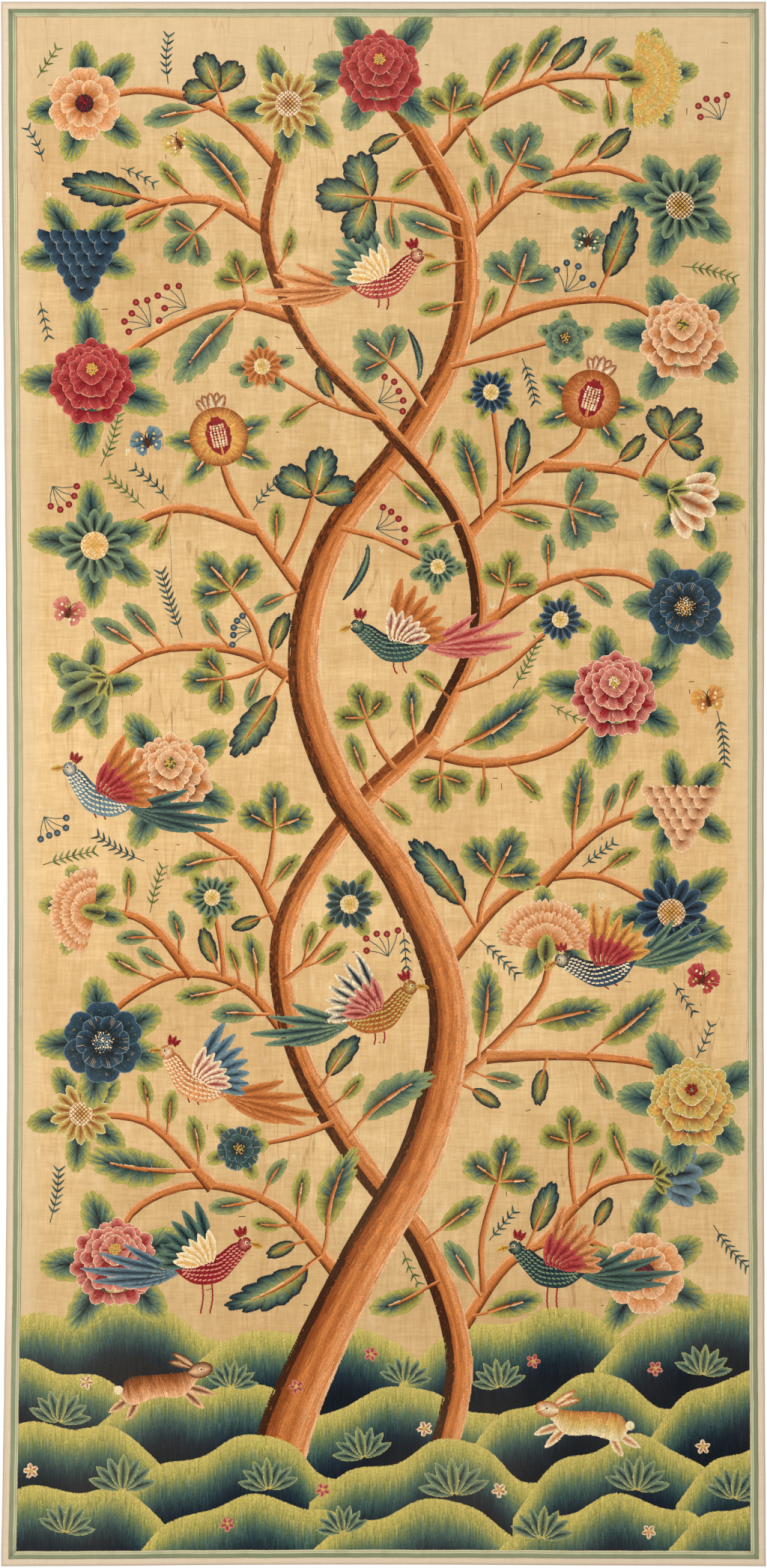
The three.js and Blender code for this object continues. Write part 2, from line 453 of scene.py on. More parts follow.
# %% Ground finish
MARGINS_FROM = 0.56
ground, tree, vector, shader = new_material("honey_linen", 0.92, 0.12)
cloth = use_group(tree, weave, Vector=vector, Threads=1100.0)
old = use_group(tree, age, Vector=vector)
tone = ramp(tree, cloth["Streak"], (0.34, srgb(226, 192, 138)), (0.66, srgb(242, 211, 160)))
light = ramp(tree, old["Blotch"], (0.32, srgb(238, 228, 214)), (0.68, srgb(255, 255, 255)))
bands = ramp(tree, crossed(tree, vector, 38, 2), (0.34, srgb(240, 236, 230)), (0.66, srgb(255, 255, 255)))
slubs = ramp(tree, crossed(tree, vector, 230, 24), (0.34, srgb(238, 231, 220)), (0.66, srgb(255, 255, 255)))
place = node(tree, "SeparateXYZ", Vector=vector).outputs
below = calc(tree, "MULTIPLY", place["Z"], -1.0)
height = calc(tree, "DIVIDE", below, HEIGHT * MM)
# Painted light: brighter across the middle of the height, darker towards the top and the bottom.
fade_and_painted_light = ramp(tree, height, (0.08, 0.95), (0.28, 0.955), (0.48, 1.06), (0.6, 1.055), (0.72, 1.0), (0.84, 0.93))
cloud = tone
for streaks in (light, bands, slubs, fade_and_painted_light):
    cloud = blend(tree, 1.0, cloud, streaks, "MULTIPLY")
stain = blend(tree, ramp(tree, old["Spot"], (0.58, 0.0), (0.78, 0.4)), cloud, srgb(206, 164, 106))
worn = blend(tree, ramp(tree, old["Grime"], (0.58, 0.0), (0.8, 0.35)), stain, srgb(240, 216, 176))
left = ramp(tree, calc(tree, "ADD", place["X"], MARGINS_FROM), (0.04, 1.0), (0.058, 0.0))
right = ramp(tree, calc(tree, "SUBTRACT", MARGINS_FROM, place["X"]), (0.03, 0.9), (0.052, 0.0))
top = ramp(tree, below, (0.03, 0.9), (0.1, 0.8), (0.23, 0.0))
pale = calc(tree, "MAXIMUM", calc(tree, "MAXIMUM", left, right), top)
worn = blend(tree, calc(tree, "MULTIPLY", pale, 0.6), worn, srgb(219, 194, 155))
cracked = blend(tree, calc(tree, "MULTIPLY", old["Crack"], 0.6), worn, srgb(168, 122, 74))
set_input(tree, shader.inputs["Base Color"], cracked)
set_bump(tree, shader, cloth["Height"], 0.4, 0.0005)
worked_ground.data.materials.append(ground)
print("nodes in the ground finish:", len(tree.nodes))

# %% [markdown]
# ## The woven tape
# Four lengths of narrow tape hide the ground's raw edge, folded to a mitre at each corner. A tape is a
# profile carried along a path: flat, with plump woven edges. Its stripes run along it, so its finish reads
# a UV map of the flat tape, where u is the distance from the outer edge, and not the place in space.

# %% The four tapes
TAPE_ACROSS = np.array([0.0, 0.06, 0.16, 0.3, 0.5, 0.7, 0.84, 0.94, 1.0])
TAPE_PITCH = 12.0
MITRE_GAP = 0.08
TAPE_WAVER = 0.22
TAPE_SELVEDGE = 0.3
TAPE_LUMP = 0.12
Side = namedtuple("Side", "name half_length place")
SIDES = [
    Side("tape_top", WIDTH / 2, lambda along, inset: (along, -inset)),
    Side("tape_bottom", WIDTH / 2, lambda along, inset: (-along, inset - HEIGHT)),
    Side("tape_left", HEIGHT / 2, lambda along, inset: (inset - WIDTH / 2, along - HEIGHT / 2)),
    Side("tape_right", HEIGHT / 2, lambda along, inset: (WIDTH / 2 - inset, -along - HEIGHT / 2)),
]


def tape_grid(side):
    """Front and back of one tape. Each line across it keeps its distance from the panel's edge, apart from a
    little waver, and ends on the 45 degree line of the corner."""
    share = TAPE_ACROSS[::-1]
    run = steps(-1, 1, TAPE_PITCH / side.half_length)
    inset = TAPE_INSET + TAPE_WIDTH * np.repeat(share[:, None], len(run), 1)
    along = run[None, :] * (side.half_length - inset - MITRE_GAP)
    away = np.clip((1 - np.abs(run)) * 20, 0, 1)
    x, z = side.place(along, inset + away * waver(along + len(side.name), TAPE_WAVER))
    plump = np.sin(np.pi * share)[:, None] ** 0.4
    lump = TAPE_LUMP * np.sin(along / 9.0) * np.sin(along / 37.0)
    edge = TAPE_BACK + TAPE_SELVEDGE
    front = edge + plump * (TAPE_FRONT - edge) + plump * lump
    cut = np.stack([(inset - TAPE_INSET) / TAPE_WIDTH, along * MM], -1)
    return hung(x, z, front), hung(x, z, 0 * x + TAPE_BACK), cut


tapes = [sheet_mesh(side.name + "_woven", *tape_grid(side)) for side in SIDES]
print("tape faces:", [len(tape.data.polygons) for tape in tapes])

# %% Tape finish: stripes across it, ribs along it
TAPE_RIBS = 5200.0
tape_cloth, tree, vector, shader = new_material("striped_tape", 0.85, 0.15)
cut = node(tree, "UVMap", {"uv_map": "cut"}).outputs["UV"]
flat = node(tree, "SeparateXYZ", Vector=cut).outputs
jitter = calc(tree, "MULTIPLY_ADD", noise(tree, scaled(tree, cut, (1, 90, 1)), 1.0), 0.05, flat["X"])
stripes = ramp(
    tree,
    calc(tree, "SUBTRACT", jitter, 0.025),
    (0.0, srgb(150, 150, 114)),
    (0.05, srgb(122, 132, 98)),
    (0.55, srgb(126, 136, 102)),
    (0.59, srgb(212, 206, 168)),
    (0.69, srgb(212, 206, 168)),
    (0.71, srgb(112, 118, 84)),
    (0.75, srgb(172, 176, 136)),
    (0.84, srgb(176, 178, 138)),
    (0.87, srgb(222, 212, 176)),
    (0.93, srgb(222, 208, 170)),
    (0.96, srgb(150, 132, 92)),
)
old = use_group(tree, age, Vector=vector)
rib = calc(tree, "SINE", calc(tree, "MULTIPLY", flat["Y"], TAPE_RIBS))
fade_and_painted_light = blend(tree, ramp(tree, old["Blotch"], (0.35, 0.0), (0.7, 0.3)), stripes, srgb(186, 182, 142))
grimy = blend(tree, ramp(tree, old["Grime"], (0.5, 0.0), (0.8, 0.35)), fade_and_painted_light, srgb(120, 118, 84))
set_input(tree, shader.inputs["Base Color"], grimy)
set_bump(tree, shader, rib, 0.4, 0.0003)
for tape in tapes:
    tape.data.materials.append(tape_cloth)
print("nodes in the tape finish:", len(tree.nodes))

# %% [markdown]
# ## A stitch
# Crewel work is thousands of short lengths of wool. Hair or curves could stand for them, but a mesh is what
# the export keeps, so each stitch is a small closed roof of eight triangles: a flat underside, two slopes
# that meet in a ridge, and two hipped ends. Smooth shading rounds it to a strand, while the underside's
# edges are marked sharp, as shading carried round them would draw a dark line along every stitch. All the
# stitches of a piece are worked out at once as arrays, and each carries the colour of its own yarn. A real
# embroiderer works no stitch under another motif. So the cloth has an owner map, one square for each
# millimetre: a motif claims its squares, and a stitch is cut back where a later motif has claimed them.

# %% The needlework book
SEED = 12
YARN = 1.6
RIDGE = 0.26
HIP = 0.55
SHORTEST = 2.2
SAMPLES = 12
TUCK = 0.6
FIELD_X = 541.0
FIELD_LOW = 21.0
FIELD_HIGH = 2279.0
FIELD_MARGIN = 8
LOOSE = 10 ** 6
LIFT_SPREAD = 0.03
CLAIM_STEP = 0.7
ABOVE_CLOTH = 0.1
dice = np.random.default_rng(SEED)


def cells(points):
    """Row and column of the owner map under each point (x from the middle, h up from the lower edge)."""
    row = np.clip(np.rint(points[..., 1]), 0, HEIGHT).astype(int)
    column = np.clip(np.rint(points[..., 0] + WIDTH / 2), 0, WIDTH).astype(int)
    return row, column


def patch_size(patch):
    """Greatest breadth and length of a patch, a function of u across and v along, from a coarse grid on
    it."""
    grid = patch(np.linspace(0, 1, 25)[:, None], np.linspace(0, 1, 17)[None, :])
    breadth = np.linalg.norm(np.diff(grid, axis=0), axis=-1).sum(0).max()
    length = np.linalg.norm(np.diff(grid, axis=1), axis=-1).sum(1).max()
    return breadth, length


class Needlework:
    """Every stitch so far, and the number of the motif that owns each square millimetre."""

    def __init__(self):
        self.owner = np.zeros((HEIGHT + 1, WIDTH + 1), np.int32)
        self.motif = 0
        self.rows = {}

    def claim(self, patch):
        """A new motif takes the squares under its patch."""
        self.motif += 1
        breadth, length = patch_size(patch)
        u = np.linspace(0, 1, int(breadth / CLAIM_STEP) + 2)
        v = np.linspace(0, 1, int(length / CLAIM_STEP) + 2)
        self.owner[cells(patch(u[:, None], v[None, :]))] = self.motif

    def taken(self, patch):
        """Share of a patch that is owned or lies outside the field."""
        points = patch(np.linspace(0, 1, 15)[:, None], np.linspace(0, 1, 19)[None, :])
        across = np.abs(points[..., 0]) < FIELD_X - FIELD_MARGIN
        inside = across & (points[..., 1] < FIELD_HIGH - FIELD_MARGIN)
        return np.mean((self.owner[cells(points)] > 0) | ~inside)

    def sew(self, piece, start, end, width, colour, lift=0.0, number=None):
        """Adds stitches: start and end on the cloth, with one width and colour each, or one for each end.
        The number LOOSE keeps them whole."""
        number = np.full(len(start), self.motif if number is None else number)
        size = np.broadcast_to(width if np.ndim(width) == 2 else np.reshape(width, (-1, 1)), (len(start), 2))
        raised = lift + dice.normal(0, LIFT_SPREAD, len(start))
        dye = colour if colour.ndim == 3 else np.repeat(colour[:, None], 2, 1)
        self.rows.setdefault(piece, []).append((start, end, size, raised, dye, number))


needle = Needlework()
print("squares of the owner map:", needle.owner.size)


# %% From stitches to a mesh
STITCH_CORNERS = np.array([0, 4, 5, 3, 1, 2, 5, 4, 0, 1, 4, 2, 3, 5, 0, 3, 2, 1])
STITCH_FACES = np.array([0, 4, 8, 11, 14])
STITCH_ENDS = np.array([0, 0, 1, 1, 0, 1])
SMOOTH_FACES = np.array([True, True, True, True, False])
TOP_LAYOUT = np.array([(0.06, 0.06), (0.7, 0.06), (0.7, 0.94), (0.06, 0.94), (0.38, 0.2), (0.38, 0.8)])
UNDER_LAYOUT = np.array([(0.8, 0.06), (0.8, 0.94), (0.94, 0.94), (0.94, 0.06)])


def cut_back(start, end, number):
    """Which stitches show, and the shares of each where its seen runs begin and end. A cut end tucks a
    little way under the motif that hides it."""
    share = (np.arange(SAMPLES) + 0.5) / SAMPLES
    points = start[:, None] + (end - start)[:, None] * share[None, :, None]
    inside = (np.abs(points[..., 0]) < FIELD_X) & (points[..., 1] > FIELD_LOW) & (points[..., 1] < FIELD_HIGH)
    seen = (inside | (number == LOOSE)[:, None]) & (needle.owner[cells(points)] <= number[:, None])
    change = np.diff(np.pad(seen, ((0, 0), (1, 1))).astype(int), axis=1)
    which, first = np.nonzero(change > 0)
    last = np.nonzero(change < 0)[1]
    return which, (first - TUCK).clip(0) / SAMPLES, (last + TUCK).clip(0, SAMPLES) / SAMPLES


def part_way(start, end, share):
    """Places, widths or colours at a share of the way from start to end."""
    return start + (end - start) * share[:, None]


def stitch_points(start, end, width, lift):
    """The six points of each roof: two at each end on the cloth, its width apart, and the two ends of the
    ridge, drawn in by the hip and raised by a share of the width."""
    along = end - start
    length = np.linalg.norm(along, axis=1, keepdims=True)
    along = along / length
    left = np.stack([-along[:, 1], along[:, 0]], -1) / 2
    first, last = left * width[:, :1], left * width[:, 1:]
    hip = along * np.minimum(length * 0.3, width.mean(1, keepdims=True) * HIP)
    flat = np.stack([start + first, start - first, end - last, end + last, start + hip, end - hip], 1)
    raised = np.concatenate([np.zeros((len(start), 4)), width * RIDGE], 1)
    x = flat[..., 0]
    z = flat[..., 1] - HEIGHT
    forward = GROUND_FRONT + ABOVE_CLOTH + creased(x, z) + lift[:, None] + raised
    return hung(x, z, forward), length[:, 0]


def stitched_piece(name):
    """One mesh of all the stitches sewn under a name, with the yarn's colour, a UV map along and across each
    stitch, and a bake map with a square for each stitch."""
    start, end, width, lift, dyes, number = (np.concatenate(part) for part in zip(*needle.rows[name]))
    which, first, last = cut_back(start, end, number)
    start, end, width, lift, dyes = (part[which] for part in (start, end, width, lift, dyes))
    start, end = part_way(start, end, first), part_way(start, end, last)
    width = np.concatenate([part_way(width[:, :1], width[:, 1:], share) for share in (first, last)], 1)
    dyes = [part_way(dyes[:, 0], dyes[:, 1], share) for share in (first, last)]
    dyes = np.stack([dyes[k] for k in STITCH_ENDS], 1)
    keep = np.linalg.norm(end - start, axis=1) > np.minimum(SHORTEST, width.mean(1) * 0.8)
    start, end, width, lift, dyes = (part[keep] for part in (start, end, width, lift, dyes))
    points, length = stitch_points(start, end, width, lift)
    count = len(start)
    corners = (STITCH_CORNERS[None, :] + 6 * np.arange(count)[:, None]).ravel()
    starts = (STITCH_FACES[None, :] + 18 * np.arange(count)[:, None]).ravel()
    made = make_mesh(name, points.reshape(-1, 3), corners, starts)
    made.data.polygons.foreach_set("use_smooth", np.tile(SMOOTH_FACES, count))
    ends = np.empty(2 * len(made.data.edges), np.int32)
    made.data.edges.foreach_get("vertices", ends)
    made.data.edges.foreach_set("use_edge_sharp", (ends.reshape(-1, 2) % 6 < 4).all(1))
    dye = made.data.attributes.new("dye", "FLOAT_COLOR", "POINT")
    shown = np.concatenate([dyes, np.ones((count, 6, 1))], 2)
    dye.data.foreach_set("color", shown.astype(np.float32).ravel())
    side = int(np.ceil(np.sqrt(count)))
    square = np.stack([np.arange(count) % side, np.arange(count) // side], -1)
    layout = np.concatenate([TOP_LAYOUT[STITCH_CORNERS[:14]], UNDER_LAYOUT])
    add_uv(made, "OFBake", (square[:, None] + layout[None]) / side)
    ends = length[:, None] * STITCH_ENDS
    sides = np.tile([0.0, 1.0, 1.0, 0.0, 0.5, 0.5], (count, 1))
    strand = np.stack([ends * MM, sides], -1)
    add_uv(made, "strand", strand.reshape(-1, 2)[corners])
    made.data.materials.append(wool)
    print(name, "stitches:", count, "triangles:", count * 8)
    return made


# %% [markdown]
# ## Wool
# Crewel wool is a soft two-ply yarn. Each stitch of the mesh stands for two strands laid side by side, and
# their twist shows as slanting ridges. The finish makes both as height from the stitch's own UV map, which
# costs no triangles. The dye comes from the mesh. The fleece took it unevenly, which gives the wool a fine
# grain, and age has faded it in clouds.

# %% Wool finish
TWIST = 3200.0
TWIST_SLANT = 9.0
GRAIN = 430.0
wool, tree, vector, shader = new_material("crewel_wool", 0.9, 0.02)
shader.inputs["Specular IOR Level"].default_value = 0.05
strand = node(tree, "UVMap", {"uv_map": "strand"}).outputs["UV"]
flat = node(tree, "SeparateXYZ", Vector=strand).outputs
strands = calc(tree, "ABSOLUTE", calc(tree, "SINE", calc(tree, "MULTIPLY", flat["Y"], 2 * np.pi)))
slant = calc(tree, "MULTIPLY_ADD", flat["X"], TWIST, calc(tree, "MULTIPLY", flat["Y"], TWIST_SLANT))
twist = calc(tree, "MULTIPLY_ADD", calc(tree, "SINE", slant), 0.5, 0.5)
height = calc(tree, "MULTIPLY_ADD", twist, 0.35, strands)
old = use_group(tree, age, Vector=vector)
dyed = node(tree, "Attribute", {"attribute_name": "dye"}).outputs["Color"]
# Painted shade: the colour is darkened a little where the strands and the twist are low, in the grooves.
shaded = blend(tree, 0.4, dyed, ramp(tree, height, (0.0, 0.8), (0.6, 1.0)), "MULTIPLY")
grain = ramp(tree, noise(tree, vector, GRAIN, 3.0), (0.3, 0.77), (0.7, 1.24))
shaded = blend(tree, 1.0, shaded, grain, "MULTIPLY")
fade_and_painted_light = blend(tree, ramp(tree, old["Blotch"], (0.42, 0.0), (0.75, 0.05)), shaded, srgb(214, 186, 138))
set_input(tree, shader.inputs["Base Color"], fade_and_painted_light)
set_bump(tree, shader, height, 0.6, 0.0003)
print("nodes in the wool finish:", len(tree.nodes))

# %% [markdown]
# ## Curves, patches and fillings
# Every motif is built from the same few ideas. A curve runs smoothly through a handful of points. A patch
# is a function of u and v that covers an area of cloth. Long-and-short stitch fills a patch with columns of
# stitches along v, their ends ragged so that one shade of wool runs into the next. Stem stitch follows a
# curve.

# %% Curves and placings
def smooth(points):
    """Catmull-Rom curve through the points, for u from 0 to 1, spaced by the chords between them."""
    through = np.asarray(points, float)
    padded = np.concatenate([[2 * through[0] - through[1]], through, [2 * through[-1] - through[-2]]])
    chord = np.concatenate([[0], np.cumsum(np.linalg.norm(np.diff(through, axis=0), axis=1))])
    chord = chord / chord[-1]

    def curve(u):
        u = np.clip(np.asarray(u, float), 0, 1)
        i = np.clip(np.searchsorted(chord, u, side="right") - 1, 0, len(through) - 2)
        f = ((u - chord[i]) / (chord[i + 1] - chord[i]))[..., None]
        a, b, c, d = (padded[i + k] for k in range(4))
        bow = (2 * a - 5 * b + 4 * c - d) * f ** 2 + (3 * b - a - 3 * c + d) * f ** 3
        return b + 0.5 * ((c - a) * f + bow)

    return curve


def ahead_of(curve, u):
    """Unit direction of a curve at u."""
    way = curve(np.minimum(u + 1e-3, 1)) - curve(np.maximum(u - 1e-3, 0))
    return way / np.linalg.norm(way, axis=-1, keepdims=True)


def left_of(curve, u):
    """Unit normal to the left of the way along a curve."""
    way = ahead_of(curve, u)
    return np.stack([-way[..., 1], way[..., 0]], -1)


def placed(x, y, turn=0.0, mirror=1, inside=None):
    """A placing: a motif's own points are mirrored, turned by degrees and carried to (x, y), which may lie
    inside another placing."""
    c = np.cos(np.radians(turn))
    s = np.sin(np.radians(turn))

    def put(points):
        p = np.asarray(points, float)
        a = p[..., 0] * mirror
        b = p[..., 1]
        moved = np.stack([x + a * c - b * s, y + a * s + b * c], -1)
        return moved if inside is None else inside(moved)

    return put


def even(curve, step):
    """Values of u that are a step apart along a curve."""
    u = np.linspace(0, 1, 240)
    run = np.concatenate([[0], np.cumsum(np.linalg.norm(np.diff(curve(u), axis=0), axis=1))])
    count = max(2, int(run[-1] / step) + 1)
    return np.interp(np.linspace(0, run[-1], count), run, u)


# %% Stitches that fill a patch
TONE_SPREAD = 0.07
OVERLAP = 2.0
BROAD = 1.45
THINNEST = 0.7
GOLDEN = 0.618
STAGGER = 0.22
RAGGED = 0.35
SIDEWAYS = 0.4
NARROWEST = 0.4
BROADEST = 2.4


def tint(tones, place):
    """Colour between the two nearest of a row of tones."""
    place = np.clip(place, 0, len(tones) - 1)
    low = np.minimum(place.astype(int), len(tones) - 2)
    return tones[low] + (tones[low + 1] - tones[low]) * (place - low)[..., None]


def fill(piece, patch, tones, length=13.0, pitch=YARN, shade=None, mingle=0.3, worn=0.0, lift=0.0):
    """Long-and-short stitch over a patch. Columns stand a yarn apart where the patch is broadest. Where it
    narrows, every second, fourth or eighth column goes on, so that the stitches keep their breadth. Along
    each column they meet at ragged ends. The tone comes from shade(u, v), or from v, with a little
    mingling, and runs from one end of a stitch to the other, as a stitch stands for several finer ones."""
    columns = max(2, int(patch_size(patch)[0] / pitch))
    number = np.arange(columns)[:, None]
    u = (number + 0.5) / columns
    lines = patch(u, np.linspace(0, 1, 25)[None, :])
    tall = np.linalg.norm(np.diff(lines, axis=1), axis=-1).sum(1)[:, None] + 1e-6
    rows = np.maximum(1, np.rint(tall / length)).astype(int)
    step = np.arange(rows.max() + 1)[None, :]
    by_turns = np.where(number * GOLDEN % 1 < 0.5, STAGGER, -STAGGER)
    ragged = by_turns + RAGGED * (dice.random((columns, step.size)) - 0.5)
    edge = np.minimum(step / rows, 1) + ragged / rows * ((step > 0) & (step < rows))
    middle = (edge[:, :-1] + edge[:, 1:]) / 2
    beside = 0.5 / columns

    def room(v):
        """Breadth of cloth from one column to the next."""
        return np.linalg.norm(patch(u + beside, v) - patch(u - beside, v), axis=-1).clip(0.02)

    skip = 2 ** np.ceil(np.log2((THINNEST * pitch / room(middle)).clip(1))).astype(int)
    across = u + ((skip - 1) + SIDEWAYS * (dice.random(skip.shape) - 0.5)) * beside
    keep = (edge[:, 1:] > edge[:, :-1]) & (number % skip == 0) & (dice.random(skip.shape) >= worn)
    first = (edge[:, :-1] - OVERLAP / tall).clip(0)
    last = (edge[:, 1:] + OVERLAP / tall).clip(0, 1)
    place = np.stack([end if shade is None else shade(across, end) for end in (first, last)], -1)
    stray = mingle * dice.standard_normal(skip.shape)[..., None]
    tone = tint(tones, place * (len(tones) - 1) + stray)
    tone = tone * (1 + TONE_SPREAD * dice.standard_normal(skip.shape))[..., None, None]
    breadth = BROAD * skip[..., None] * np.stack([room(first), room(last)], -1)
    breadth = breadth.clip(NARROWEST * pitch, BROADEST * pitch)
    needle.sew(piece, patch(across, first)[keep], patch(across, last)[keep], breadth[keep], tone[keep], lift)


# %% Stitches that follow a curve, and knots
def stem_line(piece, curve, tone, width=YARN, step=6.5, lift=0.45):
    """Stem stitch: short stitches along a curve, each lying a little across it and over the one before."""
    u = even(curve, step)
    points = curve(u)
    aside = left_of(curve, u) * width * 0.2
    spread = 1 + TONE_SPREAD * dice.standard_normal((len(u) - 1, 1))
    needle.sew(piece, points[:-1] - aside[:-1], points[1:] + aside[1:], width, tone * spread, lift)


def knots(piece, points, tones, size=2.4, lift=0.4):
    """French knots: two short fat stitches crossed, each knot turned its own way."""
    turn = dice.random(len(points)) * np.pi
    colour = tones[dice.integers(0, len(tones), len(points))]
    for quarter in (0, np.pi / 2):
        half = np.stack([np.cos(turn + quarter), np.sin(turn + quarter)], -1) * size * 0.6
        needle.sew(piece, points - half, points + half, size * 0.8, colour, lift)


def knot_disc(piece, put, radius, tones, spacing=3.0, size=2.4):
    """Knots over a disc in the spiral of a seed head."""
    count = int((radius / spacing) ** 2 * 3.2)
    k = np.arange(count) + 0.5
    reach = radius * np.sqrt(k / count)
    knots(piece, put(np.stack([reach * np.cos(2.4 * k), reach * np.sin(2.4 * k)], -1)), tones, size)


def trellis(piece, put, radius, spacing, tone, width=1.2):
    """Two sets of parallel threads laid slanting over a disc, as on a garden trellis."""
    offset = np.arange(-radius + spacing / 2, radius, spacing)
    half = np.sqrt(radius ** 2 - offset ** 2)
    for turn in (45, -45):
        slanted = placed(0, 0, turn, inside=put)
        start = slanted(np.stack([offset, -half], -1))
        end = slanted(np.stack([offset, half], -1))
        needle.sew(piece, start, end, width, np.tile(tone, (len(offset), 1)), 0.5)


# %% [markdown]
# ## Yarns
# The dyes are those of old crewel work: indigo from navy to pale blue, greens dyed as yellow over indigo,
# madder reds, and browns. Each shading is a row of dye names, from the first shade to the last.

# %% The dyes
DYES = {
    "ink": (20, 26, 33), "navy": (28, 40, 50), "petrol": (40, 60, 63), "teal": (60, 87, 83),
    "sea": (88, 117, 101), "sage": (124, 144, 110), "moss": (148, 155, 98), "lime": (178, 168, 82),
    "straw": (201, 181, 101), "leaf": (112, 126, 62), "olive": (74, 88, 48), "mustard": (212, 172, 80),
    "soot": (66, 36, 20), "bark": (92, 47, 22), "rust": (143, 72, 32), "tan": (180, 101, 48),
    "orange": (208, 127, 66), "peach": (225, 156, 101), "blush": (235, 187, 141), "gold": (226, 167, 85),
    "wine": (120, 20, 28), "crimson": (150, 34, 40), "rose": (188, 76, 72), "pink": (220, 140, 120),
    "cream": (244, 222, 182), "blue": (56, 79, 98), "sky": (118, 144, 150), "bone": (232, 212, 168),
    "slit": (112, 76, 44),
}


def yarns(names):
    """Linear colours of the dyes named in a line of words."""
    return np.array([srgb(*DYES[name])[:3] for name in names.split()])


BARK = yarns("bark rust rust tan orange tan orange peach orange blush")
TWIG = yarns("bark rust tan orange orange orange peach blush")
LIGHT_LEAF = yarns("ink navy petrol teal teal sea sage moss lime")
MILD_LEAF = yarns("navy petrol teal sea sage sage moss")
DARK_LEAF = yarns("lime moss sage sea teal petrol navy")
SEA_LEAF = yarns("navy petrol teal teal sea sage moss")
HILL = yarns("straw straw lime leaf sea teal petrol navy navy ink ink")
print("dyes:", len(DYES))

# %% [markdown]
# ## Trunk and branches
# Stems are worked lengthwise in bands, from a dark brown edge through rust and orange to a pale edge, so
# that they look round. A stem is a profile carried along a path: u runs across it and v along it. The dark
# side is always the left or the lower one. The dark brown wool was dyed with iron, which rots it, so that
# edge is ragged.

# %% Stems
SHADE_SIDE = np.array([-0.8, -0.6])
DARK_BAND = 12.0
OVERHANG = 3.5
STEM_STITCH = 20.0
STEM_PITCH = 1.8


def stem(points, from_width, to_width, tones, bark=False):
    """A band along a curve, tapering from one width to the other, shaded across. A bark has a second, dark
    band over its shaded edge, with stitches missing."""
    path = smooth(points)
    side = 1 if left_of(path, np.linspace(0, 1, 20)).mean(0) @ SHADE_SIDE > 0 else -1

    def beside(v, inwards):
        """Points off the path, towards its dark side, by a distance that depends on the half width."""
        half = (from_width + (to_width - from_width) * np.sqrt(v)) / 2
        return path(v) + left_of(path, v) * (side * inwards(half))[..., None]

    def whole(u, v):
        return beside(v, lambda half: half * (1 - 2 * u))

    def shaded(u, v):
        return beside(v, lambda half: half + OVERHANG - DARK_BAND * u)

    needle.claim(whole)
    fill("stem_stitches", whole, tones, STEM_STITCH, STEM_PITCH, lambda u, v: u)
    if bark:
        fill("stem_stitches", shaded, yarns("soot soot bark rust"), 5.0, 1.9, mingle=0.5, worn=0.1, lift=0.3)
    return path


# %% [markdown]
# ## Leaves
# A leaf is two half patches, one on each side of a midrib. Each is ruled: u runs along the rib and round the
# outline together, and v from the one to the other, so the stitches fan out as they do on real crewel leaves.

# %% Leaves of one lobe and three lobes, and blades
LEAF_STITCH = 15.0
LEAF_RIM_STEP = 7.0
RIM_WIDTH = 1.4
RIM_LIFT = 0.2
VEIN_LIFT = 0.45


def leaf(piece, put, length, width, tones, bend=0.0, scallops=6, depth=0.1, point=1.0, full=0.0, vein=TWIG,
         rim=None, rib=0.72, pitch=1.9):
    """The outline is an oval whose half breadth is 2 sqrt(a (1 - a)) for a from base to tip, raised to the
    power of point, which sharpens both ends. It is drawn in towards the base by full, and scalloped by
    depth."""
    def bent(x, a):
        return put(np.stack(np.broadcast_arrays(x + bend * a ** 2, length * a), -1))

    for side in (1, -1):

        def half(u, v, side=side):
            u = np.clip(u, 0, 1)
            wave = 1 + depth * (np.abs(np.sin(scallops * np.pi * u)) - 0.5)
            a = (1 - np.cos(np.pi * u)) / 2
            oval = (2 * np.sqrt(a * (1 - a)).clip(0)) ** point * (1 - full * (1 - a))
            along = a * (1 + (wave - 1) * u)
            return bent(side * width / 2 * oval * wave * v, rib * u + (along - rib * u) * v)

        needle.claim(half)
        fill(piece, half, tones, LEAF_STITCH, pitch)
        if rim is not None:
            stem_line(piece, lambda u: half(u, np.ones_like(u)), rim, RIM_WIDTH, LEAF_RIM_STEP, RIM_LIFT)
    if vein is not None:
        thick = 1.5 + 0.055 * length

        def taper(u, v):
            return bent((u - 0.5) * thick * (1 - 0.7 * v), rib * 0.95 * v)

        fill(piece, taper, vein, STEM_STITCH, 1.5, lambda u, v: u, lift=VEIN_LIFT)


def leaf_piece(put):
    """Leaves left and right of the middle are two pieces, so that neither has too many triangles."""
    return "leaf_stitches_left" if put(np.zeros(2))[0] < 0 else "leaf_stitches_right"


def leaf_dyes():
    """Tones from rib to rim, and the rim's own yarn: mostly dark hearts and lime rims, some the other way."""
    draw = dice.random()
    if draw < 0.55:
        return LIGHT_LEAF, yarns("lime")[0]
    if draw < 0.8:
        return MILD_LEAF, yarns("moss")[0]
    return DARK_LEAF, yarns("navy")[0]


def long_leaf(put, size):
    """A long, deeply scalloped leaf that bends to one side."""
    tones, rim = leaf_dyes()
    bend = size * dice.uniform(-0.3, 0.3)
    leaf(leaf_piece(put), put, size, size * 0.44, tones, bend, 7, 0.2, 1.25, 0.1, TWIG, rim, 0.82)


def trefoil(put, size):
    """Three broad scalloped lobes from one base, the middle one last."""
    tones, rim = leaf_dyes()
    for turn, share in ((68, 0.54), (-68, 0.54), (0, 0.62)):
        lobe = placed(0, 0, turn + dice.uniform(-8, 8), inside=put)
        leaf(leaf_piece(put), lobe, size * share, size * 0.5, tones, 0.0, 6, 0.13, 0.9, 0.5, TWIG, rim)


